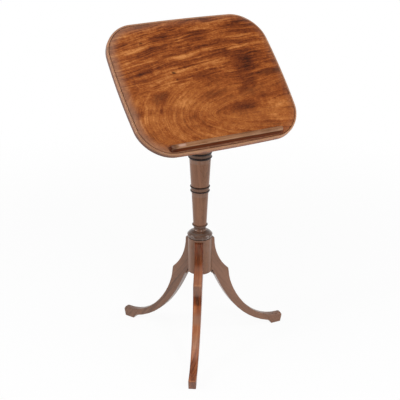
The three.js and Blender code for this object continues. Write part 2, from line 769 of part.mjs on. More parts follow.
// The edge section of the board: pairs of inset from the edge and drop from the rim's crest.
function rimSection() {
  const section = [];
  for (let i = 0; i <= underSteps; i++) {
    const a = (Math.PI / 2) * i / underSteps;
    section.push([underRound * (1 - Math.sin(a)), boardThickness - underRound * (1 - Math.cos(a))]);
  }
  for (let i = 0; i <= rimSteps; i++) {
    const a = Math.PI * i / rimSteps;
    const low = i * 2 > rimSteps ? rimGrooveDepth : rimRise;
    section.push([rimWidth * (1 - Math.cos(a)) / 2, low * (1 - Math.sin(a))]);
  }
  section.push([rimWidth + rimGrooveWidth, rimGrooveDepth]);
  section.push([rimWidth + rimGrooveWidth + fieldEdgeWidth, fieldDrop]);
  return section;
}

function bearerScrewPlaces() {
  return [-bearerFrontReach + bearerScrewEndInset, -bearerScrewMiddle, bearerRearReach - bearerScrewEndInset];
}

function boardSolid() {
  const rings = rimSection().map(([inset, drop]) =>
    boardOutline(inset).map((p) => new THREE.Vector3(p.x, p.y, boardTopHeight - drop)));
  let solid = solidOf(loft(rings));
  const screwDepth = bearerScrewLength - bearerScrewGrip + gap;
  for (const side of [-1, 1]) {
    for (const place of bearerScrewPlaces()) {
      const pilot = rod(screwShankRadius + gap, screwDepth + overrun, screwSides);
      pilot.translate(side * (bearerInner + bearerThickness / 2), place, boardUnderside - overrun);
      solid = solid.subtract(solidOf(pilot));
    }
    const peg = rod(pegRadius + gap, pegInBoard + gap + overrun);
    peg.translate(side * pegSpacing / 2, ledgeMiddle, fieldHeight - pegInBoard - gap);
    solid = solid.subtract(solidOf(peg));
  }
  return solid.subtract(housingSolid());
}

// Bearer with its rack, drawn from the tilt pivot and round the middle of X

// The lower edge of the rack, in the frame of the crossbar's line: travel against rise. The tips
// of the teeth clear the bar on its line, and each notch is centred at the height of the tips.
function rackEdge() {
  const seatRadius = crossbarRadius + gap;
  const place = (travel, rise) => new THREE.Vector2(
    travel * Math.cos(rackSlope) + rise * Math.sin(rackSlope),
    -travel * Math.sin(rackSlope) + rise * Math.cos(rackSlope));
  const points = [];
  for (let n = -notchesAboveRest; n <= notchesBelowRest; n++) {
    const seat = restTravel + n * notchPitch;
    points.push(place(seat - notchPitch + seatRadius + toothTip, seatRadius));
    for (let i = 0; i <= notchSteps; i++) {
      const a = notchWrap * (1 - i / notchSteps);
      points.push(place(seat + seatRadius * Math.cos(a), seatRadius + seatRadius * Math.sin(a)));
    }
  }
  const last = restTravel + notchesBelowRest * notchPitch + seatRadius;
  points.push(place(last + toothTip, seatRadius));
  return points;
}

function bearerSolid() {
  const top = boardUnderside - gap;
  const bottom = -bearerDepthBelowPivot;
  const rack = rackEdge();
  const rackStart = rack[0];
  const rackEnd = rack.at(-1);
  const side = new THREE.Shape();
  side.moveTo(-bearerFrontReach, top);
  side.lineTo(-bearerFrontReach, top - bearerEndHeight);
  side.quadraticCurveTo(
    -bearerFrontReach + bearerTaperLength / 2, bottom, -bearerFrontReach + bearerTaperLength, bottom);
  side.lineTo(bearerHubReach, bottom);
  side.quadraticCurveTo(bearerHubReach + rackRecessRun, bottom, rackStart.x, rackStart.y);
  rack.slice(1).forEach((p) => side.lineTo(p.x, p.y));
  side.lineTo(rackEnd.x + toothTip, bottom);
  side.lineTo(bearerRearReach - bearerRearTaperLength, bottom);
  side.quadraticCurveTo(
    bearerRearReach - bearerRearTaperLength / 2, bottom, bearerRearReach, top - bearerEndHeight);
  side.lineTo(bearerRearReach, top);
  side.closePath();
  let solid = solidOf(sideSection(side, bearerThickness, 6));
  solid = solid.subtract(solidOf(crossRod(pivotPinRadius + gap, bearerThickness + 2 * overrun)));
  for (const place of bearerScrewPlaces()) {
    const hole = screwHole(bearerScrewLength + overrun, bearerDepthBelowPivot + boardTopHeight);
    solid = solid.subtract(hole.translate([0, place, top - bearerScrewGrip]));
  }
  return solid;
}

// Pivot pin, drawn for the right-hand side from the middle of the block outwards
function pivotPinGeometry() {
  const inner = blockHalfWidth - pivotPinDepth;
  const outer = bearerOuter + gap;
  const outline = new THREE.Path();
  outline.moveTo(0, inner).lineTo(pivotPinRadius - edgeEase, inner)
    .lineTo(pivotPinRadius, inner + edgeEase).lineTo(pivotPinRadius, outer)
    .lineTo(pivotPinHeadRadius, outer)
    .quadraticCurveTo(pivotPinHeadRadius, outer + pivotPinHeadHeight, 0, outer + pivotPinHeadHeight);
  return turned(outline, drilledSides).rotateY(Math.PI / 2);
}

// Book ledge, drawn from the tilt pivot

const ledgeFront = boardMiddle - boardDepth / 2 + ledgeInset;
const ledgeMiddle = ledgeFront + ledgeWidth / 2 + gap;

// The ledge's plan with its rounded ends. It overruns the front and the back, which are cut square.
function ledgePlan(margin) {
  const straight = ledgeLength / 2 - ledgeEndRound;
  const endRound = ledgeEndRound + margin;
  const reach = ledgeWidth / 2 + overrun + margin;
  const middle = ledgeFront + ledgeWidth / 2;
  const plan = new THREE.Shape();
  plan.moveTo(-straight, middle - reach);
  plan.lineTo(straight, middle - reach);
  plan.absellipse(straight, middle, endRound, reach, -Math.PI / 2, Math.PI / 2);
  plan.lineTo(-straight, middle + reach);
  plan.absellipse(-straight, middle, endRound, reach, Math.PI / 2, 1.5 * Math.PI);
  return plan;
}

// The housing for the foot of the ledge, as a solid to cut from the board
function housingSolid() {
  const height = ledgeHousing + overrun;
  const ends = extruded(ledgePlan(gap), height + overrun, ledgeEndSteps)
    .translate(0, 0, housingFloor - overrun);
  const sides = new THREE.BoxGeometry(ledgeLength + 2 * overrun, ledgeWidth + 2 * gap, height)
    .translate(0, ledgeFront + ledgeWidth / 2, housingFloor + height / 2);
  return solidOf(ends).intersect(solidOf(sides));
}

function ledgeSolid() {
  const seat = housingFloor + gap;
  const foot = fieldHeight + gap;
  const section = new THREE.Shape();
  section.moveTo(ledgeFront, seat);
  section.lineTo(ledgeFront + ledgeWidth, seat);
  section.lineTo(ledgeFront + ledgeWidth, foot + ledgeBackHeight);
  section.quadraticCurveTo(
    ledgeFront + ledgeWidth, foot + ledgeHeight,
    ledgeFront + (ledgeWidth + ledgeLipSetback) / 2, foot + ledgeHeight);
  section.quadraticCurveTo(
    ledgeFront + ledgeLipSetback, foot + ledgeHeight, ledgeFront + ledgeLipSetback, foot + ledgeLipHeight);
  section.quadraticCurveTo(
    ledgeFront + ledgeLipSetback, foot + ledgeFootHeight, ledgeFront, foot + ledgeFootHeight);
  section.closePath();
  const half = ledgeLength / 2;
  const crown = foot + ledgeHeight;
  const elevation = new THREE.Shape();
  elevation.moveTo(-half, seat - overrun);
  elevation.lineTo(half, seat - overrun);
  elevation.lineTo(half, crown - ledgeEndRound);
  elevation.quadraticCurveTo(half, crown, half - ledgeEndRound, crown + overrun);
  elevation.lineTo(-half + ledgeEndRound, crown + overrun);
  elevation.quadraticCurveTo(-half, crown, -half, crown - ledgeEndRound);
  elevation.closePath();
  const depth = ledgeWidth + 2 * overrun;
  const ends = facing(extruded(elevation, depth, 4), alongX, alongZ, alongY.clone().negate());
  const rounding = extruded(ledgePlan(0), crown - seat + 2 * overrun, ledgeEndSteps);
  let solid = solidOf(sideSection(section, ledgeLength, 6))
    .intersect(solidOf(rounding.translate(0, 0, seat - overrun)))
    .intersect(solidOf(ends.translate(0, ledgeFront - overrun + depth, 0)));
  const holeHeight = fieldHeight + pegInLedge + gap - seat + overrun;
  for (const side of [-1, 1]) {
    const hole = rod(pegRadius + gap, holeHeight);
    solid = solid.subtract(solidOf(hole.translate(side * pegSpacing / 2, ledgeMiddle, seat - overrun)));
  }
  return solid;
}

// Assembly

const table = new THREE.Group();

// Stand: column, legs, brace and locking screw
const stand = new THREE.Group();
table.add(stand);
addPiece(stand, 'column', geometryOf(columnSolid()), standMahogany);
const leg = legGeometry();
for (const [name, azimuth] of Object.entries(legAzimuths)) {
  addPiece(stand, `leg_${name}`, leg, standMahogany).rotation.z = azimuth;
  const seat = new THREE.Group();
  seat.rotation.z = azimuth;
  stand.add(seat);
  const screw = addPiece(seat, `brace_screw_${name}`, woodScrew(braceScrewLength), steel);
  braceScrewMatrix().decompose(screw.position, screw.quaternion, screw.scale);
}
addPiece(stand, 'brace_plate', geometryOf(braceSolid()), iron);
addPiece(stand, 'brace_screw_centre', woodScrew(braceScrewLength - overrun), steel)
  .position.z = braceBend.y - braceThickness - gap;
addPiece(stand, 'mouth_bush', tube(poleRadius + gap, mouthBushRadius, mouthBushLength), brass)
  .position.z = columnMouth - mouthBushLength;
const lock = new THREE.Group();
lock.rotation.z = lockAzimuth;
lock.position.z = columnShape.lockHeight;
stand.add(lock);
addPiece(lock, 'lock_bush', lockBushGeometry(), brass);
addPiece(lock, 'lock_thumbscrew', lockScrewGeometry(), brass);

// Pole with the washers and the key that hold the block on its pintle
const poleGroup = new THREE.Group();
poleGroup.position.z = pivotHeight;
table.add(poleGroup);
addPiece(poleGroup, 'pole', geometryOf(poleSolid()), plainWood);
addPiece(poleGroup, 'shoulder_washer',
  tube(pintleRadius + gap, shoulderWasherRadius, washerThickness), iron)
  .position.z = poleShoulder + gap - pivotHeight;
addPiece(poleGroup, 'pocket_washer',
  tube(pintleRadius + gap, pocketWasherRadius, washerThickness), iron)
  .position.z = pocketFloor + gap;
addPiece(poleGroup, 'pintle_key', keyGeometry(), darkMahogany);

// Head: the block that swivels on the pintle, with the strut's hinge pin
const head = new THREE.Group();
head.position.set(0, -pivotSetForward, pivotHeight);
table.add(head);
addPiece(head, 'swivel_block', geometryOf(blockSolid()), standMahogany);
addPiece(head, 'strut_pin', crossRod(strutPinRadius, 2 * (blockHalfWidth - strutPinInset)), brass)
  .position.copy(strutHinge);

// Strut with its crossbar
const strutGroup = new THREE.Group();
strutGroup.position.copy(strutHinge);
strutGroup.rotation.x = strutAngle;
head.add(strutGroup);
addPiece(strutGroup, 'strut', geometryOf(strutSolid()), standMahogany);
addPiece(strutGroup, 'strut_crossbar', crossRod(crossbarRadius, 2 * bearerOuter), darkMahogany)
  .position.y = strutLength;

// Tilting top: board, bearers, pivot pins and book ledge
const top = new THREE.Group();
top.rotation.x = boardTilt;
head.add(top);
addPiece(top, 'top_board', geometryOf(boardSolid()), topMahogany);
const bearer = geometryOf(bearerSolid());
for (const [name, side] of [['left', -1], ['right', 1]]) {
  const middle = side * (bearerInner + bearerThickness / 2);
  addPiece(top, `bearer_${name}`, bearer, standMahogany).position.x = middle;
  bearerScrewPlaces().forEach((place, i) => {
    addPiece(top, `bearer_screw_${name}_${i + 1}`, woodScrew(bearerScrewLength - gap), steel)
      .position.set(middle, place, boardUnderside - gap - bearerScrewGrip);
  });
  addPiece(top, `pivot_pin_${name}`, pivotPinGeometry(), iron)
    .rotation.z = side > 0 ? 0 : Math.PI;
  addPiece(top, `ledge_peg_${name}`, rod(pegRadius, pegInBoard + pegInLedge), plainWood)
    .position.set(side * pegSpacing / 2, ledgeMiddle, fieldHeight - pegInBoard);
}
addPiece(top, 'book_ledge', geometryOf(ledgeSolid()), darkMahogany);

// The origin goes to the middle of the bounding box, at floor level
const bounds = new THREE.Box3().setFromObject(table, true);
const middle = bounds.getCenter(new THREE.Vector3());
table.position.set(-middle.x, -middle.y, 0);
const whole = new THREE.Group();
whole.add(table);

export default whole;
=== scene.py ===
# %% [markdown]
# # A mahogany reading table, dressed on its frame
# The construction comes ready made: every piece that carries, turns or slides is in the frame,
# at its real size, in metres. This notebook gives it its looks. The turned column, the dished
# top and the ledge are modelled again here with finer curves, because polish shows every
# facet. The rest keeps its own solids and gets worn edges and finishes.

# %% Load the frame
import json
import math
from functools import reduce
import bmesh
import bpy
from mathutils import Matrix, Vector


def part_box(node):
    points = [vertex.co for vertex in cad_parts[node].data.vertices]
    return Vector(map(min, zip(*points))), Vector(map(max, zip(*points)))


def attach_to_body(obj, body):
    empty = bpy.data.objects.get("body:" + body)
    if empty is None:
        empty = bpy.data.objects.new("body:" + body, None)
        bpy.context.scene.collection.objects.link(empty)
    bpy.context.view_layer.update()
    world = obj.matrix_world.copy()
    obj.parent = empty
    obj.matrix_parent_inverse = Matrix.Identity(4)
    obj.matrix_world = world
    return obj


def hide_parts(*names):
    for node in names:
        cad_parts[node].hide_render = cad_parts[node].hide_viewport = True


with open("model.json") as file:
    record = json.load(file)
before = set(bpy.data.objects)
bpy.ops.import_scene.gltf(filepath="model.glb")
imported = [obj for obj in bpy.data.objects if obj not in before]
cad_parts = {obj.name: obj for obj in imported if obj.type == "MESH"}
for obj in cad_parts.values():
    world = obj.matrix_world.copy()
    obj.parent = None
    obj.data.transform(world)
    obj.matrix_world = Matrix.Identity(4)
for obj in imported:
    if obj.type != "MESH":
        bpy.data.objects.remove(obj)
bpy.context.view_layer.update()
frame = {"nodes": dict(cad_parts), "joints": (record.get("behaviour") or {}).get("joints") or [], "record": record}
MM = 0.001
joints = {joint["name"]: joint for joint in frame["joints"]}
mounts = {mount["name"]: mount for mount in frame["record"]["mounts"]}
slot_of = {row["node"]: row["material_slot"] for row in frame["record"]["subparts"]}

# %% [markdown]
# ## Where things are
# Three places order everything else. The column's axis is the middle of the column's box. The
# tilt pivot is the joint of the top. The slope of the top is read from its reading surface. A
# matrix carries board coordinates, x along the ledge, y up the slope and z out of the board,
# into the frame.

# %% The column's axis, the pivot and the slope of the top
low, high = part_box("column")
axis_x, axis_y = (low.x + high.x) / 2, (low.y + high.y) / 2
pivot = Vector(joints["top_tilt"]["pos_m"])
out_of_board = Vector(mounts["reading_surface"]["axis"]).normalized()
up_slope = Vector((0, out_of_board.z, -out_of_board.y))
along_ledge = Vector((1, 0, 0))
board_turn = Matrix((along_ledge, up_slope, out_of_board)).transposed().to_4x4()
board_place = Matrix.Translation(pivot) @ board_turn
column_foot = Vector((axis_x, axis_y, 0))
column_place = Matrix.Translation(column_foot)
print("tilt", round(math.degrees(math.asin(-out_of_board.y)), 2), "degrees, pivot", tuple(pivot))

# %% [markdown]
# ## The camera
# The photograph was taken from a little above the top, about three metres away, with the ledge
# turned to the right. The distance, height and lens were worked out from the ellipses of the
# turned rings and from the three feet, which all stand on one floor. The camera was held a
# hair off level.

# %% Camera
CAMERA_AZIMUTH = math.radians(-29.8)
CAMERA_ELEVATION = math.radians(21.89)
CAMERA_ROLL = math.radians(0.2)
CAMERA_DISTANCE = 2976 * MM
AIM_HEIGHT = 492 * MM
FOCAL_PIXELS, FRAME_PIXELS, SENSOR_MM = 959, 400, 36
def add_object(name, data):
    """Puts a camera, a mesh or a lamp into the scene as an object."""
    made = bpy.data.objects.new(name, data)
    bpy.context.scene.collection.objects.link(made)
    return made


def from_azimuth(azimuth, elevation):
    """The unit vector towards a viewer at that azimuth and elevation."""
    flat = math.cos(elevation)
    return Vector((math.sin(azimuth) * flat, -math.cos(azimuth) * flat, math.sin(elevation)))

camera_data = bpy.data.cameras.new("camera")
camera_data.sensor_width = SENSOR_MM
camera_data.lens = SENSOR_MM * FOCAL_PIXELS / FRAME_PIXELS
camera = add_object("camera", camera_data)
bpy.context.scene.camera = camera
back = from_azimuth(CAMERA_AZIMUTH, CAMERA_ELEVATION)
camera.location = Vector((axis_x, axis_y, AIM_HEIGHT)) + CAMERA_DISTANCE * back
camera.rotation_mode = "QUATERNION"
upright = (-back).to_track_quat("-Z", "Y").to_matrix()
camera.rotation_quaternion = (upright @ Matrix.Rotation(CAMERA_ROLL, 3, "Z")).to_quaternion()
print("lens", round(camera_data.lens, 1), "mm at", tuple(round(c, 3) for c in camera.location))

# %% [markdown]
# ## Shader maths as expressions
# A procedural finish is mostly arithmetic on numbers that change over the surface. Written as
# nodes it is hard to read, so a small class wraps a socket and turns Python's operators into
# Math and Vector Math nodes. Everything else goes through one method, which takes a node's
# type, its settings and what its sockets hold. Sockets that share a name are known by number.

# %% A socket with operators
MIDDLE = 0.5  # the number that noise swings about
MIX_FACTOR, MIX_FIRST, MIX_SECOND, MIX_COLOUR = 0, 6, 7, 2  # sockets of a Mix node


class Wire:
    """An output socket. Operators on it add the Math nodes that work them out."""

    def __init__(self, tree, socket):
        self.tree = tree
        self.socket = socket

    @classmethod
    def node(cls, tree, kind, settings=None, values=None, output=0):
        """Adds any node: its settings first, then the values or links of its sockets."""
        node = tree.nodes.new(kind)
        for name, setting in (settings or {}).items():
            if name == "stops":
                set_stops(node.color_ramp, setting)
            else:
                setattr(node, name, setting)
        for key, value in (values or {}).items():
            if isinstance(value, Wire):
                tree.links.new(value.socket, node.inputs[key])
            else:
                node.inputs[key].default_value = value
        return cls(tree, node.outputs[output])

    def maths(self, operation, *operands, clamp=False):
        if any(isinstance(o, Wire) and o.socket.type == "VECTOR" for o in operands):
            return self.vector_maths(operation, *operands)
        settings = {"operation": operation, "use_clamp": clamp}
        return Wire.node(self.tree, "ShaderNodeMath", settings, dict(enumerate(operands)))

    def vector_maths(self, operation, *operands, output=0):
        values = {i: (o, o, o) if isinstance(o, (int, float)) else o for i, o in enumerate(operands)}
        return Wire.node(self.tree, "ShaderNodeVectorMath", {"operation": operation}, values, output)

    def __add__(self, other):
        return self.maths("ADD", self, other)

    def __radd__(self, other):
        return self.maths("ADD", other, self)

    def __sub__(self, other):
        return self.maths("SUBTRACT", self, other)

    def __rsub__(self, other):
        return self.maths("SUBTRACT", other, self)

    def __mul__(self, other):
        return self.maths("MULTIPLY", self, other)

    def __rmul__(self, other):
        return self.maths("MULTIPLY", other, self)

    def __truediv__(self, other):
        return self.maths("DIVIDE", self, other)

    def __pow__(self, other):
        return self.maths("POWER", self, other)

    def __abs__(self):
        return self.maths("ABSOLUTE", self)

    def root(self):
        return self.maths("SQRT", self)

    def most(self, other):
        return self.maths("MAXIMUM", self, other)

    def least(self, other):
        return self.maths("MINIMUM", self, other)

    def limited(self):
        """The same number kept between 0 and 1."""
        return self.maths("ADD", self, 0.0, clamp=True)

    def dot(self, direction):
        return self.vector_maths("DOT_PRODUCT", self, tuple(direction), output="Value")

    def length(self):
        return self.vector_maths("LENGTH", self, output="Value")

    def rising(self, start, end):
        """0 below start and 1 above end, with a smooth step between them. end may lie below."""
        settings = {"interpolation_type": "SMOOTHSTEP"}
        values = {"Value": self, "From Min": start, "From Max": end}
        return Wire.node(self.tree, "ShaderNodeMapRange", settings, values)

    def band(self, start, end, soft):
        """1 from start to end, falling to 0 over soft on either side."""
        return abs(self - (start + end) / 2).rising((end - start) / 2 + soft, (end - start) / 2)

    def crested(self, power):
        """1 where the number is a half, and 0 where it is 0 or 1; more power, a narrower crest."""
        return (1.0 - abs(self * 2.0 - 1.0)) ** power

    def mixed(self, first, second):
        """A colour between two colours, by this number."""
        settings = {"data_type": "RGBA", "clamp_factor": True}
        values = {MIX_FACTOR: self, MIX_FIRST: first, MIX_SECOND: second}
        return Wire.node(self.tree, "ShaderNodeMix", settings, values, output=MIX_COLOUR)


def set_stops(ramp, stops):
    """Gives a colour ramp its stops, pairs of place and colour."""
    while len(ramp.elements) < len(stops):
        ramp.elements.new(MIDDLE)
    for element, (place, colour) in zip(ramp.elements, stops):
        element.position = place
        element.color = colour


def ramped(tree, number, stops):
    """The colour that a number picks from a ramp."""
    return Wire.node(tree, "ShaderNodeValToRGB", {"stops": stops}, {"Fac": number})


def strongest(wires):
    """The largest of several numbers, place by place."""
    return reduce(Wire.most, wires)


# %% Colours
SRGB_KNEE, SRGB_SLOPE, SRGB_LIFT, SRGB_POWER = 0.04045, 12.92, 0.055, 2.4  # how screens code light


def linear(part):
    return part / SRGB_SLOPE if part <= SRGB_KNEE else ((part + SRGB_LIFT) / (1 + SRGB_LIFT)) ** SRGB_POWER


def paint(text):
    """A colour written as in a paint program, such as b0622f, as the shader wants it."""
    return (*(linear(int(text[i:i + 2], 16) / 255) for i in (0, 2, 4)), 1.0)


def painted(wood, coats):
    """Lays paint after paint over a colour; coats are pairs of amount and paint."""
    for amount, colour in coats:
        wood = amount.mixed(wood, paint(colour))
    return wood


# %% [markdown]
# ## Starting a finish
# Each material starts from the place on the piece, in metres, which stays with the piece when
# it moves. The place is turned into the timber's own directions: along the grain, across it
# and through it.

# %% Materials, their places and their noise
def new_finish(name):
    """An empty material with a Principled shader: the material, its tree and the shader node."""
    material = bpy.data.materials.new(name)
    material.use_nodes = True
    tree = material.node_tree
    return material, tree, tree.nodes["Principled BSDF"]


def surface_place(tree):
    return Wire.node(tree, "ShaderNodeTexCoord", output="Object")


def timber_place(tree, start, grain, across):
    """The place along the grain, across it and through it, as three numbers in metres."""
    offset = surface_place(tree) - tuple(start)
    through = Vector(grain).cross(Vector(across))
    return [offset.dot(direction) for direction in (grain, across, through)]


def board_place_of(tree):
    """The place along the ledge, up the slope and out of the board, from the tilt pivot."""
    return timber_place(tree, pivot, along_ledge, up_slope)


def joined(tree, x, y, z):
    return Wire.node(tree, "ShaderNodeCombineXYZ", values={"X": x, "Y": y, "Z": z})


def noise(tree, place, scale=1.0, detail=2.0, roughness=0.5):
    values = {"Vector": place, "Scale": scale, "Detail": detail, "Roughness": roughness}
    return Wire.node(tree, "ShaderNodeTexNoise", {"normalize": True}, values)


def attach(tree, shader, **values):
    """Sets or links the shader's sockets; an underscore in a name stands for a space."""
    for name, value in values.items():
        socket = shader.inputs[name.replace("_", " ")]
        if isinstance(value, Wire):
            tree.links.new(value.socket, socket)
        else:
            socket.default_value = value


def bumped(tree, height, distance):
    return Wire.node(tree, "ShaderNodeBump", values={"Distance": distance, "Height": height})


# %% [markdown]
# ## Mahogany
# Mahogany is a straight-grained reddish timber with dark pores like short pen strokes, soft
# ribbons of light and shade, and, in a showy board, a swirl where the saw ran through the
# bulge of a branch. One function makes them all but the top. It bends the place into rings
# round a trunk, then looks up noise in ring space: stretched along the grain, narrow from ring
# to ring. Stain, wear, painted light and shade, and gloss that belong to one piece are handed
# to it as functions.

# %% The mahogany finish
TRUNK_DEPTH = 500 * MM  # from the board to the middle of the trunk it was sawn from
RING_WANDER, RING_SWIRL = 32 * MM, 8 * MM  # how far the rings stray from circles, slowly and quickly
WANDER_RATES, SWIRL_RATES, CLOUD_RATES = (3.1, 9), (11, 17), (6.5, 15)  # along and across the grain
FIGURE = {  # width across the rings and length along the grain, in metres, and detail
    "ribbon": (0.022, 0.42, 3), "streak": (0.0048, 0.16, 3), "fibre": (0.0011, 0.05, 2),
    "pore": (0.00045, 0.006, 1),
}
RIBBON_TONE, STREAK_TONE, FIBRE_TONE, CLOUD_TONE, TONE_MEAN = 0.42, 0.34, 0.14, 0.10, 0.53
TONE_PLACES = (0.36, 0.47, 0.60, 0.72)  # of the dark, middle, light and gleam among the tones
CLOUD_PART, CLOUDED, GLEAM_POWER, GLEAM_SHARE = 0.6, (0.50, 0.66), 9, 0.28
PORES, PORE_SHARE, PORE_PAINT = (0.62, 0.74), 0.45, "2a120a"
GREASE_SCALE, GREASE_ROUGHNESS, PORE_ROUGHNESS, COAT_ROUGHNESS = 21, 0.16, 0.18, 0.14
FIBRE_RELIEF, STREAK_RELIEF, RELIEF_DEPTH = 0.35, 0.4, 0.05 * MM


def mahogany(name, start, grain, across, tones, polish, cloud=0.55, contrast=1.0, colour_layers=(),
             tone_shift=None, gloss=None, coat=0.22, shine=0.5):
    """Polished mahogany. tones are its dark, middle, light and gleam. By place, each colour layer
    covers it with a colour, some of them stains and some painted light, shade and sheen;
    tone_shift makes the timber lighter or darker, some of it wear and some painted light and
    shade; and gloss adds to the coat."""
    material, tree, shader = new_finish(name)
    u, v, w = timber_place(tree, start, grain, across)

    def drifting(rates, detail, roughness=0.5):
        place = joined(tree, u * rates[0], v * rates[1], w * rates[1])
        return noise(tree, place, detail=detail, roughness=roughness)

    wander, swirl = drifting(WANDER_RATES, 3) - MIDDLE, drifting(SWIRL_RATES, 2) - MIDDLE
    v_bent = v + wander * RING_WANDER + swirl * RING_SWIRL
    trunk = w + TRUNK_DEPTH
    ring = (v_bent * v_bent + trunk * trunk).root()

    def layer(figure):
        width, length, detail = FIGURE[figure]
        place = joined(tree, ring / width, u / length, v / length)
        return noise(tree, place, detail=detail, roughness=0.55)

    ribbon, streak, fibre, pore = (layer(figure) for figure in FIGURE)
    pores, clouds = pore.rising(*PORES), drifting(CLOUD_RATES, 4, 0.6)
    tone = ribbon * RIBBON_TONE + streak * STREAK_TONE + fibre * FIBRE_TONE + clouds * CLOUD_TONE
    tone = (tone - TONE_MEAN) * contrast + TONE_MEAN
    if tone_shift is not None:
        tone = tone + tone_shift(tree)
    wood = ramped(tree, tone, [(place, paint(colour)) for place, colour in zip(TONE_PLACES, tones)])
    clouded = (clouds * CLOUD_PART + ribbon * (1 - CLOUD_PART)).rising(*CLOUDED)
    wood = painted(wood, [
        (clouded * cloud, tones[0]), (streak.crested(GLEAM_POWER) * GLEAM_SHARE, tones[-1]),
        (pores * PORE_SHARE, PORE_PAINT), *((amount(tree), colour) for amount, colour in colour_layers)])
    grease = noise(tree, surface_place(tree), scale=GREASE_SCALE, detail=3)
    relief = fibre * FIBRE_RELIEF - pores + streak * STREAK_RELIEF
    attach(tree, shader, Base_Color=wood, Normal=bumped(tree, relief, RELIEF_DEPTH),
           Roughness=polish + (grease - MIDDLE) * GREASE_ROUGHNESS + pores * PORE_ROUGHNESS,
           Coat_Weight=gloss(tree) + coat if gloss else coat, Coat_Roughness=COAT_ROUGHNESS,
           Specular_IOR_Level=shine)
    return material


# %% [markdown]
# ## Metals
# The hidden metalwork is plain: blackened wrought iron for the brace and the washers, old
# brass for the bushes and the thumbscrew, and dull steel screws. Each gets cloudy tarnish,
# fine scratches and a roughness that follows them.

# %% Metal finishes
FILE_MARKS = ((900, 120, 0), (0, 240, 60), (0, 0, 700))  # per metre, for the three axes of the noise
TARNISH_SCALE, TARNISHED, TARNISH_ROUGHNESS, TARNISH_RELIEF = 90, (0.42, 0.66), 0.25, 0.6
GRIMY, GRIME_SHARE, MARK_ROUGHNESS, METAL_RELIEF_DEPTH = (0.55, 0.8), 0.5, 0.12, 0.06 * MM


def metal(name, bright, dull, polish, tarnish):
    """A metal between two colours, with tarnish in patches and fine marks of the file."""
    material, tree, shader = new_finish(name)
    place = surface_place(tree)
    cloudy = noise(tree, place, scale=TARNISH_SCALE, detail=5, roughness=0.65).rising(*TARNISHED)
    marks = noise(tree, joined(tree, *(place.dot(direction) for direction in FILE_MARKS)))
    grime = (1.0 - marks).rising(*GRIMY) * GRIME_SHARE
    attach(tree, shader, Base_Color=painted(paint(bright), [(cloudy * tarnish, dull), (grime, dull)]),
           Metallic=1.0 - cloudy * (tarnish / 2),
           Roughness=polish + cloudy * TARNISH_ROUGHNESS + (marks - MIDDLE) * MARK_ROUGHNESS,
           Normal=bumped(tree, marks + cloudy * TARNISH_RELIEF, METAL_RELIEF_DEPTH))
    return material


finishes = {
    "brass": metal("old_brass", "c9a35c", "5f4421", 0.30, 0.7),
    "iron": metal("blackened_iron", "96796a", "6a4e40", 0.42, 0.6),
    "steel": metal("dull_steel", "9a9790", "4a443d", 0.40, 0.6),
}
print("metals:", ", ".join(finishes))

# %% [markdown]
# ## Making a piece
# A piece is a list of corners and faces, made in millimetres and put in place by a matrix. It
# is shaded smooth, with its real edges kept sharp, and rides on the body of the node that it
# stands for.

# %% From corners and faces to a piece
MERGE_DISTANCE = 0.001  # corners nearer than this, in millimetres, are one


def body_of_node(node):
    return next(body for body, nodes in frame["record"]["behaviour"]["bodies"].items() if node in nodes)


def add_piece(name, corners, faces, place, node, finish, sharp=35):
    """Makes a mesh piece that stands for a CAD node and moves with its body."""
    mesh = bpy.data.meshes.new(name)
    mesh.from_pydata([tuple(c) for c in corners], [], faces)
    work = bmesh.new()
    work.from_mesh(mesh)
    bmesh.ops.remove_doubles(work, verts=work.verts, dist=MERGE_DISTANCE)
    bmesh.ops.recalc_face_normals(work, faces=work.faces)
    work.to_mesh(mesh)
    work.free()
    mesh.transform(place @ Matrix.Scale(MM, 4))
    mesh.materials.append(finish)
    mesh.shade_smooth()
    mesh.set_sharp_from_angle(angle=math.radians(sharp))
    piece = add_object(name, mesh)
    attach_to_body(piece, body_of_node(node))
    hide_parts(node)
    print(name, "has", len(mesh.polygons), "faces")
    return piece


def skinned(count, rings, ends=True):
    """Quads between rings of equally many corners, and a face that closes either end."""
    faces = [(r * count + i, r * count + j, (r + 1) * count + j, (r + 1) * count + i)
             for r in range(rings - 1) for i, j in ((i, (i + 1) % count) for i in range(count))]
    return faces + [tuple(range(r * count, (r + 1) * count)) for r in (0, rings - 1) if ends]


def swept(start, bend, end, steps):
    """Points on a curve from start to end that leans towards bend."""
    shares = [i / steps for i in range(1, steps + 1)]
    return [tuple(s * (1 - t) ** 2 + 2 * b * t * (1 - t) + e * t * t for s, b, e in zip(start, bend, end))
            for t in shares]


def corner_arc(x, y, radius, quarter, steps):
    """Points of a round corner about x, y, in one quarter of the circle."""
    angles = [math.pi / 2 * (quarter + i / steps) for i in range(steps + 1)]
    return [(x + radius * math.cos(a), y + radius * math.sin(a)) for a in angles]
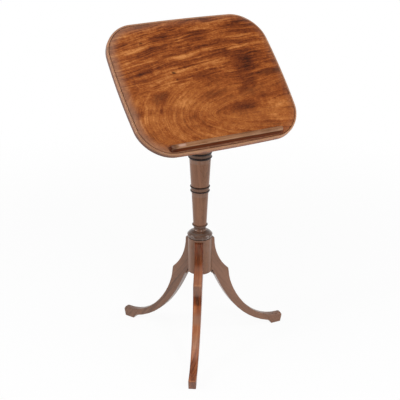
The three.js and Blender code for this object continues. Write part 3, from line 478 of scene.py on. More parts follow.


# %% [markdown]
# ## The turned column
# A turner cuts a column to a template: plain tapers, and between them mouldings named by
# their shape. A bead is a half round, a fillet a flat band, and a quirk the narrow groove that
# sets a bead off. The template is written here the same way, from the underside of the leg
# block upwards, and spun round the axis. Heights of the stained mouldings and of the quirks,
# which are made dark, are noted on the way, for the finish.

# %% The column's template
BEAD_STEPS, CURVE_STEPS, LATHE_SIDES = 10, 12, 144
BLOCK_RADIUS, BLOCK_HEIGHT, EDGE_EASE = 37.3, 117, 0.8
QUIRK_RADIUS, QUIRK_HEIGHT = 34.2, 1.1
BASE_BEAD_RADIUS, BASE_BEAD_HEIGHT = 37.5, 5.9
DOME_RADIUS, DOME_EDGE_HEIGHT, DOME_HEIGHT, DOME_TOP_RADIUS = 39.8, 3.6, 11.3, 22.5
DOME_HANDLE, HOLLOW_HANDLE, ROUND_HANDLE = (0.32, 0.72), (1, 0), (0, 1)
NECK_BULB_RADIUS, NECK_BULB_HEIGHT = 20.6, 5
NECK_RING_RADIUS, NECK_RING_HEIGHT = 18.8, 3.4
NECK_RADIUS, NECK_HEIGHT = 16.4, 2
VASE_RADIUS, VASE_HEIGHT = 21.6, 6.6
COLLAR_RADIUS, COLLAR_HEIGHT, SHAFT_FILLET_HEIGHT = 24.6, 4, 2
SHAFT_FOOT_RADIUS, LOWER_SHAFT_TOP_RADIUS, LOWER_SHAFT_HEIGHT = 21.1, 26.1, 104
WAIST_FILLET_RADIUS, WAIST_FILLET_HEIGHT = 27, 4.4
WAIST_BAND_RADIUS, WAIST_BAND_HEIGHT = 28.2, 9.7
WAIST_LOWER_BEAD_RADIUS, WAIST_UPPER_BEAD_RADIUS, SHAFT_BEAD_HEIGHT = 30.4, 31, 4.3
UPPER_SHAFT_TOP_RADIUS, UPPER_SHAFT_HEIGHT = 33.5, 92.1
MOUTH_BEAD_RADIUS, MOUTH_BAND_RADIUS, MOUTH_BAND_HEIGHT = 37, 34.6, 10.5
LIP_RADIUS, LIP_HEIGHT, LIP_ROUND = 36, 5, 2
BORE_RADIUS, BORE_DEPTH, BUSH_SEAT_RADIUS, BUSH_SEAT_DEPTH = 13.6, 230, 16.2, 9.8
BEAD_RUN = 2.2  # how far down the stain of the mouth's beads has run


class Template:
    """The outline of a turned piece: radius against height, drawn from the foot upwards."""

    def __init__(self, height):
        self.height = height
        self.points = [(0, height)]
        self.colour_layers = []
        self.block_top = self.collar = height

    def to(self, radius, rise=0.0):
        self.height += rise
        self.points.append((radius, self.height))

    def bead(self, base, radius, rise, darkness=0.0, run=0.0):
        """A half round that stands out from base to radius, stained that dark."""
        for i in range(BEAD_STEPS + 1):
            a = math.pi * i / BEAD_STEPS
            self.points.append((base + (radius - base) * math.sin(a),
                                self.height + rise * (1 - math.cos(a)) / 2))
        self.mark(rise, darkness, run)
        self.height += rise

    def curve(self, radius, rise, handle, darkness=0.0):
        """A sweep to a new radius and height, bent by a handle given as shares of both."""
        self.mark(rise, darkness)
        start = self.points[-1]
        bend = (start[0] + (radius - start[0]) * handle[0], start[1] + rise * handle[1])
        self.height += rise
        self.points += swept(start, bend, (radius, self.height), CURVE_STEPS)

    def mark(self, rise, darkness, run=0.0):
        """Notes how dark the next moulding is made, and how far down the darkening has run."""
        if darkness > 0:
            self.colour_layers.append((self.height - run, self.height + rise, darkness))


def column_template(foot):
    t = Template(foot)
    t.to(BLOCK_RADIUS - EDGE_EASE)
    t.to(BLOCK_RADIUS, EDGE_EASE)
    t.to(BLOCK_RADIUS, BLOCK_HEIGHT - 2 * EDGE_EASE)
    t.to(BLOCK_RADIUS - EDGE_EASE, EDGE_EASE)
    t.block_top = t.height
    # the quirk under the base bead is made dark
    t.mark(QUIRK_HEIGHT, darkness=0.9)
    t.to(QUIRK_RADIUS)
    t.to(QUIRK_RADIUS, QUIRK_HEIGHT)
    t.bead(QUIRK_RADIUS, BASE_BEAD_RADIUS, BASE_BEAD_HEIGHT, darkness=0.32)
    # the quirk over the base bead is made dark
    t.mark(QUIRK_HEIGHT, darkness=0.9)
    t.to(QUIRK_RADIUS, QUIRK_HEIGHT)
    t.bead(DOME_RADIUS - EDGE_EASE, DOME_RADIUS, DOME_EDGE_HEIGHT, darkness=0.55)
    t.curve(DOME_TOP_RADIUS, DOME_HEIGHT, DOME_HANDLE, darkness=0.45)
    t.bead(NECK_RING_RADIUS, NECK_BULB_RADIUS, NECK_BULB_HEIGHT)
    t.bead(NECK_RADIUS, NECK_RING_RADIUS, NECK_RING_HEIGHT, darkness=0.3)
    t.mark(NECK_HEIGHT, darkness=0.5)
    t.to(NECK_RADIUS, NECK_HEIGHT)
    t.curve(VASE_RADIUS, VASE_HEIGHT, HOLLOW_HANDLE, darkness=0.55)
    t.collar = t.height
    t.bead(VASE_RADIUS, COLLAR_RADIUS, COLLAR_HEIGHT, darkness=0.55)
    t.to(VASE_RADIUS, SHAFT_FILLET_HEIGHT)
    t.to(SHAFT_FOOT_RADIUS)
    t.to(LOWER_SHAFT_TOP_RADIUS, LOWER_SHAFT_HEIGHT)
    t.to(WAIST_FILLET_RADIUS)
    t.to(WAIST_FILLET_RADIUS, WAIST_FILLET_HEIGHT)
    t.bead(WAIST_BAND_RADIUS, WAIST_LOWER_BEAD_RADIUS, SHAFT_BEAD_HEIGHT, darkness=0.95)
    t.mark(WAIST_BAND_HEIGHT, darkness=0.3)
    t.to(WAIST_BAND_RADIUS, WAIST_BAND_HEIGHT)
    t.bead(WAIST_BAND_RADIUS, WAIST_UPPER_BEAD_RADIUS, SHAFT_BEAD_HEIGHT, darkness=0.95)
    t.to(UPPER_SHAFT_TOP_RADIUS, UPPER_SHAFT_HEIGHT)
    t.bead(UPPER_SHAFT_TOP_RADIUS, MOUTH_BEAD_RADIUS, SHAFT_BEAD_HEIGHT, darkness=1, run=BEAD_RUN)
    t.to(MOUTH_BAND_RADIUS)
    t.mark(MOUTH_BAND_HEIGHT, darkness=0.5)
    t.to(MOUTH_BAND_RADIUS, MOUTH_BAND_HEIGHT)
    t.bead(MOUTH_BAND_RADIUS, MOUTH_BEAD_RADIUS, SHAFT_BEAD_HEIGHT, darkness=1, run=BEAD_RUN)
    t.to(LIP_RADIUS)
    t.to(LIP_RADIUS, LIP_HEIGHT - LIP_ROUND)
    t.curve(LIP_RADIUS - LIP_ROUND, LIP_ROUND, ROUND_HANDLE)
    t.to(BUSH_SEAT_RADIUS)
    t.to(BUSH_SEAT_RADIUS, -BUSH_SEAT_DEPTH)
    t.to(BORE_RADIUS)
    t.to(BORE_RADIUS, BUSH_SEAT_DEPTH - BORE_DEPTH)
    t.to(0)
    return t


template = column_template(low.z / MM)
print("mouth at", round(max(z for _, z in template.points), 1), "mm, CAD", round(high.z / MM, 1))

# %% [markdown]
# ## Stain, dusty wax and painted light on the turning
# The narrow beads were stained nearly black, and the quirks each side of the base bead are made
# dark as well. Dusty grey wax mixed with a painted grey sheen lies on the dome, the block and
# the tops of the shafts, with pale painted highlights round the crown of the base bead and the
# shoulder of the dome. All follow the height alone, so the finish gets them as soft bands of
# height. A painted highlight runs as a lighter, warmer stripe up the side of the shaft that faces
# the camera, and the mouldings above the block have kept more of their polish.

# %% Bands at the marked heights
UPRIGHT, SIDEWAYS = Vector((0, 0, 1)), Vector((1, 0, 0))
BAND_SOFTNESS = 0.6
# dusty wax and painted grey sheen; the narrow rows at 2.6 and 17.5 mm are painted highlights
DUST_AND_SHEEN = [  # from and to, in millimetres over the block's top, how soft, and how much
    (-6, 28, 4, 0.16), (-40, 4, 4, 0.16), (-112, -30, 4, 0.08), (142, 170, 4, 0.22), (252, 280, 4, 0.30),
    (2.6, 5.0, 1.2, 0.55), (12.5, 21.5, 3, 0.22), (17.5, 19.5, 1.5, 0.80),
]
DUST_AND_SHEEN_SCALE, DUST_AND_SHEEN_PATCHES = 60, (0.2, 0.6)
# a painted highlight in a stripe up the shaft, on the side facing the camera
HIGHLIGHT_STRIPE, HIGHLIGHT_STRIPE_SHARE = (-6, 2, 9), 0.10  # across the shaft: from, to and how soft
KEPT_GLOSS, STAIN_DULLS = 0.68, 0.22


def band_mm(number, start, end, soft):
    """A band of a number in metres whose edges are given in millimetres."""
    return number.band(start * MM, end * MM, soft * MM)


# how dark the stained mouldings and the darkened quirks are, as bands of height
def turning_darkness(tree):
    height = surface_place(tree).dot(UPRIGHT)
    return strongest(band_mm(height, start, end, BAND_SOFTNESS) * darkness
                     for start, end, darkness in template.colour_layers)


def turning_dust_and_sheen(tree):
    """Dull grey wax and painted grey sheen on the dome, block and shaft tops; painted highlights on two crowns."""
    height = surface_place(tree).dot(UPRIGHT) - template.block_top * MM
    dust_and_sheen = strongest(band_mm(height, *edges) * share for *edges, share in DUST_AND_SHEEN)
    return dust_and_sheen * noise(tree, surface_place(tree), scale=DUST_AND_SHEEN_SCALE).rising(*DUST_AND_SHEEN_PATCHES)


def front_highlight_stripe(tree):
    """A painted highlight: a lighter, warmer stripe up the side of the shaft that faces the camera."""
    sideways = from_azimuth(CAMERA_AZIMUTH + math.pi / 2, 0)
    across = (surface_place(tree) - tuple(column_foot)).dot(sideways)
    return band_mm(across, *HIGHLIGHT_STRIPE) * HIGHLIGHT_STRIPE_SHARE


def turning_gloss(tree):
    """The mouldings between the block and the collar have kept their polish, the black beads not."""
    kept = band_mm(surface_place(tree).dot(UPRIGHT), template.block_top, template.collar, BAND_SOFTNESS)
    return kept * KEPT_GLOSS - turning_darkness(tree) * (1.0 - kept) * STAIN_DULLS


# %% [markdown]
# ## The figure of the top
# The top is the showy board. Low on it, left of the middle, the saw has run through the swell
# of a branch, and the grain lies in loops that open to the right like a flame. Above them it
# runs nearly straight, rising a little to the right. Over both lie brown clouds and golden
# lights, set where the photograph has them, and a few small knots. The finish also needs to
# know how far it is from the board's edge, because wax and dust have dulled the hollow inside
# the rim and a grey sheen is painted over it, the crest of the bead carries a painted highlight
# and the groove is made dark, so the outline's rounding and bow are undone in shader maths.

# %% Sizes of the board, and places of its clouds
BOARD_WIDTH, BOARD_DEPTH, BOARD_THICKNESS, BOARD_TOP = 546, 438.5, 17, 26.5
BOARD_FORWARD = 17.3  # from the tilt pivot up the slope to the board's middle
CORNER_RADIUS, SIDE_BOW, END_BOW = 97, 11.7, 5.1
UNDER_ROUND, RIM_WIDTH, RIM_RISE, GROOVE_DEPTH, GROOVE_WIDTH = 2.5, 7.2, 5, 3.9, 1.1
COVE_LIP, COVE_RUN, FIELD_DROP = 0.7, 12.5, 2
bow_x, bow_y = 2 * SIDE_BOW / BOARD_WIDTH, 2 * END_BOW / BOARD_DEPTH
HEART = (-5, -95)  # the heart of the loops, on the board, in millimetres from the tilt pivot
OVAL_EDGE = 1.9  # where an oval has faded out, in half sizes squared
CLOUDS = [  # place, half length, half width, rise in degrees, and how dark, or light below zero
    (-93, 173, 38, 13, 6, 0.8), (35, 169, 46, 17, 8, 0.9), (-130, 133, 62, 13, 6, 0.6),
    (-178, 95, 60, 7, 6, 0.7), (151, 60, 52, 34, 75, 0.65), (228, 22, 44, 12, 2, 1.0),
    (137, -12, 36, 18, 35, 0.9), (-160, -14, 34, 22, 40, 0.8), (47, 222, 70, 9, 3, 0.8),
    (91, 101, 50, 12, 8, 0.8), (-5, 38, 80, 13, 3, 0.45), (19, -24, 46, 12, 3, 0.6),
    (99, -83, 44, 20, 12, 0.45), (-246, -52, 18, 26, 90, 0.6), (190, 180, 60, 20, -8, 0.5),
    (-205, 148, 60, 13, 6, -0.7), (112, 203, 80, 10, 7, -0.8), (170, 118, 48, 11, 3, -1.0),
    (47, 73, 50, 13, 6, -0.8), (-23, 108, 54, 6, 9, -0.7), (-122, 22, 44, 12, 22, -0.9),
    (-93, -44, 34, 12, 5, -0.8), (207, -108, 62, 40, -20, -1.0), (-200, -95, 40, 40, 0, -0.35),
    (-60, -150, 90, 22, 0, -0.4), (120, -30, 40, 5, 30, -0.7),
]
KNOTS = [(-83, 61, 7, 3.5, 0, 1.0), (-82, 37, 4, 2.5, 0, 0.8), (-155, 166, 5, 3, 0, 0.8),
         (-1, 129, 4, 2.5, 0, 0.6), (-45, 75, 4, 2.5, 0, 0.6), (20, 88, 5, 2, 0, 0.6)]


def soft_oval(plan, x, y, length, width, rise, strength):
    a = math.radians(rise)
    offset = plan - (x * MM, y * MM, 0.0)
    along = offset.dot((math.cos(a), math.sin(a), 0)) / (length * MM)
    across = offset.dot((-math.sin(a), math.cos(a), 0)) / (width * MM)
    return (along * along + across * across).rising(OVAL_EDGE, 0.0) * abs(strength)


def patches(plan, rows, sign=1):
    """Soft ovals at the listed places: 1 in the middle of the strongest, 0 outside them all."""
    return strongest(soft_oval(plan, *row) for row in rows if row[-1] * sign > 0)


def board_inset(x, y):
    """How far a place on the board lies in from its outline, in metres."""
    half_x, half_y, radius = (size * MM for size in (BOARD_WIDTH / 2, BOARD_DEPTH / 2, CORNER_RADIUS))
    past_x = abs(x) / (1.0 - y * y * (bow_x / half_y ** 2)) - (half_x - radius)
    past_y = abs(y) / (1.0 - x * x * (bow_y / half_x ** 2)) - (half_y - radius)
    corner = (past_x.most(0.0) ** 2.0 + past_y.most(0.0) ** 2.0).root()
    return radius - corner - past_x.most(past_y).least(0.0)


# %% The course of the grain over the top
WARP_SCALE, DRIFT_SCALE, DRIFT_START = 14, 5, (3.1, 1.7, 0.4)
RISE, BEND, STRAIGHT_DRIFT, STRAIGHT_WARP = 0.10, 0.15, 0.035, 0.010  # above the loops
HEART_DRIFT, HEART_WARP, LOOP_DRIFT = 0.05, 0.020, 0.03
LOOP_SQUASH, LOOP_ROUND, LOOP_SPREAD = 5.4, 0.0012, 2.8  # how flat, blunt and wide the loops are
MEET_WARP, MEET_DRIFT, MEETING = 0.09, 0.12, (0.055, -0.045)  # where the loops take over
TOP_FIGURE = {  # width and length in metres, detail, and where in the noise it starts
    "ribbon": (0.020, 0.30, 3, 0), "streak": (0.0050, 0.12, 3, 4), "fibre": (0.0013, 0.03, 2, 8),
    "pore": (0.0007, 0.006, 1, 12),
}
LOOSE_FIGURE = {  # per metre along and across, where in the noise it starts, detail and roughness
    "mottle": (60, 60, 0, 5, 0.75), "speck": (150, 320, 1, 2, 0.7), "clouds": (8, 20, 2, 4, 0.6),
}


class TopGrain:
    """Nearly straight grain that turns into loops low on the board, and the noise along it."""

    def __init__(self, tree):
        self.tree = tree
        self.u, self.v, self.w = u, v, w = board_place_of(tree)
        self.plan = joined(tree, u, v, 0.0)
        self.warp = warp = noise(tree, self.plan, scale=WARP_SCALE, detail=3) - MIDDLE
        self.drift = drift = noise(tree, self.plan + DRIFT_START, scale=DRIFT_SCALE, detail=2) - MIDDLE
        self.straight = v - u * RISE + u * u * BEND + drift * STRAIGHT_DRIFT + warp * STRAIGHT_WARP
        right = u - HEART[0] * MM + drift * HEART_DRIFT
        self.up = up = v - HEART[1] * MM + warp * HEART_WARP
        self.loops = (right * right + up * up * LOOP_SQUASH + LOOP_ROUND).root() - right + drift * LOOP_DRIFT
        self.in_loops = (v + warp * MEET_WARP + drift * MEET_DRIFT).rising(*MEETING)

    def layer(self, figure):
        width, length, detail, start = TOP_FIGURE[figure]
        flat = joined(self.tree, self.straight / width, self.u / length, start)
        bent = joined(self.tree, self.loops / (LOOP_SPREAD * width), self.up / length, start)
        flat, bent = (noise(self.tree, place, detail=detail, roughness=0.6) for place in (flat, bent))
        return flat + self.in_loops * (bent - flat)

    def loose_layer(self, figure):
        along, across, start, detail, roughness = LOOSE_FIGURE[figure]
        place = joined(self.tree, self.u * along, self.v * across, start)
        return noise(self.tree, place, detail=detail, roughness=roughness)


# %% The wood of the top
TOP_STOPS = [(0.14, "2c140a"), (0.32, "602b13"), (0.47, "87431b"), (0.60, "a15a28"), (0.80, "c98348")]
TOP_SHARES = {"ribbon": 0.54, "streak": 0.92, "fibre": 0.42, "mottle": 0.56, "speck": 0.42, "clouds": 0.48}
QUIET_LAYERS, LOOPS_QUIET = ("ribbon", "streak"), 0.52  # these two are weaker in the loops
TOP_MEAN, NEAR_TONE, CLOUD_DEPTH, LIGHT_DEPTH = 0.482, 0.05, 0.19, 0.13
RAGGED_SHARE, RAGGED_LESS, CLOUD_SHIFT, CLOUD_LIFT = 1.4, 0.4, 0.03, 0.02
RING_POWER, RING_SHARE, RING_PAINT = 14, 0.20, "c27c40"
TOP_PORES, TOP_PORE_SHARE, KNOT_SHARE, KNOT_PAINT = (0.60, 0.74), 0.40, 0.8, "1c0c06"


def top_wood(tree, grain, layers, near_side, pores):
    """The tones of the wood with clouds and lights, then rings in the loops, pores and knots."""
    upwards = grain.drift * CLOUD_SHIFT + grain.warp * CLOUD_LIFT
    warped = grain.plan + joined(tree, grain.warp * CLOUD_SHIFT, upwards, 0.0)
    dark, light = patches(warped, CLOUDS), patches(warped, CLOUDS, sign=-1)
    ragged = layers["streak"] * RAGGED_SHARE + layers["mottle"] * RAGGED_SHARE - RAGGED_LESS
    calm = 1.0 - grain.in_loops * LOOPS_QUIET
    tone = near_side * NEAR_TONE - dark * ragged * CLOUD_DEPTH + light * ragged * LIGHT_DEPTH + TOP_MEAN
    for figure, share in TOP_SHARES.items():
        swing = (layers[figure] - MIDDLE) * share
        tone = tone + (swing * calm if figure in QUIET_LAYERS else swing)
    wood = ramped(tree, tone, [(place, paint(colour)) for place, colour in TOP_STOPS])
    rings = layers["ribbon"].crested(RING_POWER) * grain.in_loops
    return painted(wood, [(rings * RING_SHARE, RING_PAINT), (pores * TOP_PORE_SHARE, PORE_PAINT),
                          (patches(warped, KNOTS) * KNOT_SHARE, KNOT_PAINT)])


# %% The finish of the top, dulled, with painted sheen, highlight and shade towards its edge
NEAR_SLANT, NEAR_HALF, LEFT_SIDE = 0.6, 0.16, (-0.12, -0.22)
FACE, CREST, FLANK, UNDERSIDE = (7, 5), (8, 0), (3, 6), (9, 15)  # under the crest: begins and is full
CREST_WIDTH, DUST_AND_SHEEN_REACH, DUST_AND_SHEEN_SHIFT = 0.0015, (0.024, 0.008), 0.008
# a painted grey sheen, as a reflection, over the dulled hollow inside the rim
SHEEN_SHARE, SHEEN_NEAR, SHEEN_PAINT = 0.18, 0.30, "967a67"
# a painted highlight along the crest of the rim's bead, weaker on the left
CREST_HIGHLIGHT_SHARE, CREST_LEFT, CREST_HIGHLIGHT_PAINT = 0.55, 0.20, "b98a66"
# painted shade on the rim's outer face on the left side, and on the board's lower edge and underside
FLANK_SHADE_SHARE, FLANK_SHADE_PAINT, UNDERSIDE_SHADE_SHARE, UNDERSIDE_SHADE_PAINT = 0.7, "6b5044", 0.6, "4a2c1e"
# the groove inside the rim's bead is made dark
GROOVE_DARK_EDGES, GROOVE_DARK_SOFT, GROOVE_DARK_SHARE, GROOVE_DARK_PAINT = (0.0002, 0.0004), 0.0003, 0.6, "1d0f09"
TOP_POLISH, MOTTLE_ROUGHNESS, DUST_ROUGHNESS, TOP_SHINE = 0.34, 0.2, 0.08, 0.2
CREST_COAT, CREST_COAT_LEFT, CREST_COAT_ROUGHNESS = 0.45, 0.3, 0.12
TOP_FIBRE_RELIEF, TOP_STREAK_RELIEF, TOP_RELIEF_DEPTH = 0.4, 0.3, 0.12 * MM


def figured_top():
    material, tree, shader = new_finish("figured_mahogany")
    grain = TopGrain(tree)
    layers = {figure: grain.layer(figure) for figure in TOP_FIGURE}
    layers.update((figure, grain.loose_layer(figure)) for figure in LOOSE_FIGURE)
    mottle, streak = layers["mottle"], layers["streak"]
    pores = layers["pore"].rising(*TOP_PORES)
    near_side = (grain.u * -1.0 - grain.v * NEAR_SLANT).rising(-NEAR_HALF, NEAR_HALF)
    left_side = grain.u.rising(*LEFT_SIDE)
    inset = board_inset(grain.u, grain.v - BOARD_FORWARD * MM)
    face, crest, shaded_flank, underside = (grain.w.rising((BOARD_TOP - begins) * MM, (BOARD_TOP - full) * MM)
                                     for begins, full in (FACE, CREST, FLANK, UNDERSIDE))
    groove_start, groove_end = RIM_WIDTH * MM, (RIM_WIDTH + GROOVE_WIDTH) * MM
    # the crest of the rim's bead: a painted highlight and a glossier coat
    crest = inset.rising(groove_start, groove_start - CREST_WIDTH) * crest
    dust_and_sheen = (inset - near_side * DUST_AND_SHEEN_SHIFT).rising(groove_end + DUST_AND_SHEEN_REACH[0], groove_end - DUST_AND_SHEEN_REACH[1])
    # painted sheen just inside the groove, stronger on the near side
    painted_sheen = dust_and_sheen * face * (SHEEN_SHARE + near_side * SHEEN_NEAR) * (mottle + streak)
    # the groove is made dark
    groove_dark = inset.band(groove_start + GROOVE_DARK_EDGES[0], groove_end - GROOVE_DARK_EDGES[1], GROOVE_DARK_SOFT) * face
    wood = painted(top_wood(tree, grain, layers, near_side, pores), [
        (painted_sheen, SHEEN_PAINT), (crest * (CREST_HIGHLIGHT_SHARE - left_side * CREST_LEFT), CREST_HIGHLIGHT_PAINT),
        (shaded_flank * left_side * FLANK_SHADE_SHARE, FLANK_SHADE_PAINT), (underside * UNDERSIDE_SHADE_SHARE, UNDERSIDE_SHADE_PAINT),
        (groove_dark * GROOVE_DARK_SHARE, GROOVE_DARK_PAINT)])
    relief = layers["fibre"] * TOP_FIBRE_RELIEF - pores + streak * TOP_STREAK_RELIEF
    attach(tree, shader, Base_Color=wood, Normal=bumped(tree, relief, TOP_RELIEF_DEPTH),
           Roughness=TOP_POLISH + (mottle - MIDDLE) * MOTTLE_ROUGHNESS + dust_and_sheen * DUST_ROUGHNESS,
           Coat_Weight=crest * (CREST_COAT - left_side * CREST_COAT_LEFT),
           Coat_Roughness=CREST_COAT_ROUGHNESS, Specular_IOR_Level=TOP_SHINE)
    return material


# %% [markdown]
# ## Timbers for the other pieces
# The grain follows the piece: up the column and the pole, and along the bearers and the strut.
# The pole is bare wood, because polish would bind in the bush.

# %% Timber finishes
STAND_TONES = ("4c3020", "704a33", "875c44", "a07355")
DARK_TONES = ("2a150c", "4a2716", "693d24", "8a5c3c")
PLAIN_TONES = ("4a2c1a", "6d4528", "8a5f3b", "a67c52")
# the first is the colour of dusty wax and painted sheen on the turning
DUST_AND_SHEEN_PAINT, BEAD_PAINT = "8c7c72", "1c0b06"

finishes["top_mahogany"] = figured_top()
finishes["stand_mahogany"] = mahogany(
    "turned_mahogany", column_foot, UPRIGHT, SIDEWAYS, STAND_TONES, polish=0.32, cloud=0.35)
finishes["dark_mahogany"] = mahogany(
    "dark_mahogany", pivot, along_ledge, up_slope, DARK_TONES, polish=0.30)
finishes["plain_wood"] = mahogany(
    "pole_wood", column_foot, UPRIGHT, SIDEWAYS, PLAIN_TONES, polish=0.55)
column_finish = mahogany(
    "column_mahogany", column_foot, UPRIGHT, SIDEWAYS, STAND_TONES, polish=0.30, cloud=0.15,
    contrast=0.6, colour_layers=[(turning_dust_and_sheen, DUST_AND_SHEEN_PAINT), (turning_darkness, BEAD_PAINT)], tone_shift=front_highlight_stripe,
    gloss=turning_gloss, shine=0.25)
print("finishes:", ", ".join(finishes))

# %% [markdown]
# ## The legs
# The legs were sawn so that the rings lie nearly along their flanks, which shows as fine lines
# down their narrow faces. Each came from its own board, and the left side leg is painted darker
# and the right one lighter, as shade and light. The front leg is the reddest, and light and
# shade are painted along it: dark below the block, paler towards the cusp, dark again under it,
# and palest over the foot, with a thin painted highlight at the cusp and another over the toe,
# pale painted reflections in stripes down its face, and a painted grey sheen. Its painted light
# and shade and its sheen are lists against height, for the narrow faces, and a ramp reads them off.

# %% The legs
FRONT_TONES = ("3f170a", "763417", "a35931", "c58052")
LEG_SLOPE, LEG_LEAN = math.radians(54), math.radians(28)
RAMP_HEIGHT = 400 * MM
# painted light and shade along the front leg, with painted highlights at the cusp and over the toe
FRONT_LIGHT_AND_SHADE = [  # height in millimetres, and lightness, half of which leaves the timber as it is
    (4, 0.42), (28, 0.46), (29, 1.0), (30.1, 1.0), (30.6, 0.36), (36, 0.42), (48, 0.56), (66, 0.78),
    (80, 0.92), (95, 0.90), (108, 0.84), (122, 0.80), (144, 0.84), (156, 0.70), (178, 0.66), (186, 0.26),
    (206, 0.24), (216, 0.46), (240, 0.50), (241.5, 1.0), (245, 1.0), (247, 0.72), (262, 0.68),
    (282, 0.52), (298, 0.30), (312, 0.20), (352, 0.20),
]
# a painted grey sheen, as the reflection of the room
FRONT_SHEEN = [  # height in millimetres, and how dull and grey the polish has gone
    (4, 0.50), (27, 0.50), (29, 0.25), (34, 0.10), (66, 0.15), (78, 0.40), (96, 0.40), (106, 0.22),
    (124, 0.22), (134, 0.55), (150, 0.55), (160, 0.25), (172, 0.10), (184, 0.0), (206, 0.0),
    (214, 0.45), (240, 0.60), (246, 0.35), (276, 0.20), (286, 0.35), (298, 0.0),
]
# the stripes are painted reflections down the front leg
LEG_HALF, LEG_EASE, REFLECTION_STRIPE = 13.6, 1.5, (6, 9, 2)  # the stripes: from, to and how soft
LIGHT_AND_SHADE_SHARE, REFLECTION_SHARE, TONE_LESS, RAGGED_WEAR, RAGGED_SCALE = 0.42, 0.06, 0.02, 0.10, 60
FLANK_SHEEN, FRONT_SHEEN_PAINT = 0.25, "8a7264"
# painted shade darkens the left side leg and painted light brightens the right
SIDE_LIGHT_AND_SHADE = {"leg_left": -0.045, "leg_right": 0.045}


def by_height(tree, rows):
    """A number read off a list of heights, straight from one to the next."""
    stops = [(z * MM / RAMP_HEIGHT, (share, share, share, 1)) for z, share in rows]
    return ramped(tree, surface_place(tree).dot(UPRIGHT) / RAMP_HEIGHT, stops)


def front_leg(timber, foot, sideways):
    def off_middle(tree):
        return abs((surface_place(tree) - tuple(foot)).dot(sideways))

    def on_narrow_face(tree):
        return off_middle(tree).rising(LEG_HALF * MM, (LEG_HALF - LEG_EASE) * MM)

    def painted_sheen(tree):
        return (by_height(tree, FRONT_SHEEN) - FLANK_SHEEN) * on_narrow_face(tree) + FLANK_SHEEN

    def tone_shift(tree):
        # the list by height is painted light and shade on the narrow faces
        rubbed = (by_height(tree, FRONT_LIGHT_AND_SHADE) - MIDDLE) * on_narrow_face(tree)
        reflection_stripes = band_mm(off_middle(tree), *REFLECTION_STRIPE)
        ragged = noise(tree, surface_place(tree) - tuple(foot), scale=RAGGED_SCALE, detail=3) - MIDDLE
        return rubbed * LIGHT_AND_SHADE_SHARE + reflection_stripes * REFLECTION_SHARE - TONE_LESS + ragged * RAGGED_WEAR

    return mahogany(*timber, FRONT_TONES, polish=0.26, cloud=0.1, tone_shift=tone_shift,
                    colour_layers=[(painted_sheen, FRONT_SHEEN_PAINT)], coat=0.08, shine=0.25)


def leg_finish(node):
    """The grain runs along the leg's chord, and leans across it."""
    foot = Vector(mounts[node.replace("leg_", "foot_")]["pos_m"])
    outwards = (foot - column_foot).normalized()
    sideways = outwards.cross(UPRIGHT)
    chord = outwards * math.cos(LEG_SLOPE) - UPRIGHT * math.sin(LEG_SLOPE)
    across = sideways.cross(chord) * math.cos(LEG_LEAN) + sideways * math.sin(LEG_LEAN)
    timber = (node + "_mahogany", foot, chord, across)
    if node == "leg_front":
        return front_leg(timber, foot, sideways)
    return mahogany(*timber, STAND_TONES, polish=0.32, cloud=0.2, contrast=0.65,
                    tone_shift=lambda tree: SIDE_LIGHT_AND_SHADE[node])


for node, piece in frame["nodes"].items():
    piece.data.materials.clear()
    piece.data.materials.append(leg_finish(node) if node.startswith("leg_") else finishes[slot_of[node]])
print("each leg has a timber of its own, the other pieces have", len(finishes), "finishes")

# %% [markdown]
# ## Spinning the column
# A lathe turns the work past the tool. Here the template goes round instead: its points are
# copied about the axis, and each ring of copies is joined to the next. With this many sides no
# facet shows in the polish.

# %% Spin the column
def spun(points, sides):
    corners = [(r * math.cos(2 * math.pi * i / sides), r * math.sin(2 * math.pi * i / sides), z)
               for r, z in points for i in range(sides)]
    return corners, skinned(sides, len(points), ends=False)


corners, faces = spun(template.points, LATHE_SIDES)
add_piece("turned_column", corners, faces, column_place, "column", column_finish)

# %% [markdown]
# ## The dished top
# The top is one board. Its plan is a rectangle with wide round corners and sides that bow out a
# little. Its edge is moulded: a half-round bead, a fine groove inside it, and a shallow cove
# that sinks from the groove to the flat reading surface. Each level of the moulding is the
# same outline, drawn in by its own inset, and the levels are skinned together.

# %% The board's outline and edge
CORNER_STEPS, SIDE_STEPS, RIM_STEPS, UNDER_STEPS = 28, 16, 14, 4
FINE_EDGE = 0.06  # the fine curve of the rim stays this much inside the coarse one
GROOVE_SLANT, GROOVE_FOOT = 0.5, 0.6  # the inner side of the groove leans, and ends under the lip
UNDER_MARGIN, FIELD_MARGIN = 30, 40  # how far the flat faces are drawn in before they close


def board_outline(inset):
    """The plan of the board, drawn in by an inset: round corners and bowed sides."""
    half_x, half_y, radius = BOARD_WIDTH / 2 - inset, BOARD_DEPTH / 2 - inset, CORNER_RADIUS - inset
    signs = [(1, 1), (-1, 1), (-1, -1), (1, -1)]
    points = []
    for quarter, (sx, sy) in enumerate(signs):
        points += corner_arc(sx * (half_x - radius), sy * (half_y - radius), radius, quarter, CORNER_STEPS)
        nx, ny = signs[(quarter + 1) % 4]
        flat = quarter % 2 == 0
        end = Vector((nx * (half_x - radius), ny * half_y) if flat else (nx * half_x, ny * (half_y - radius)))
        start = Vector(points[-1])
        points += [start.lerp(end, i / SIDE_STEPS) for i in range(1, SIDE_STEPS)]
    return [(x * (1 - bow_x * (2 * y / BOARD_DEPTH) ** 2),
             y * (1 - bow_y * (2 * x / BOARD_WIDTH) ** 2) + BOARD_FORWARD) for x, y in points]


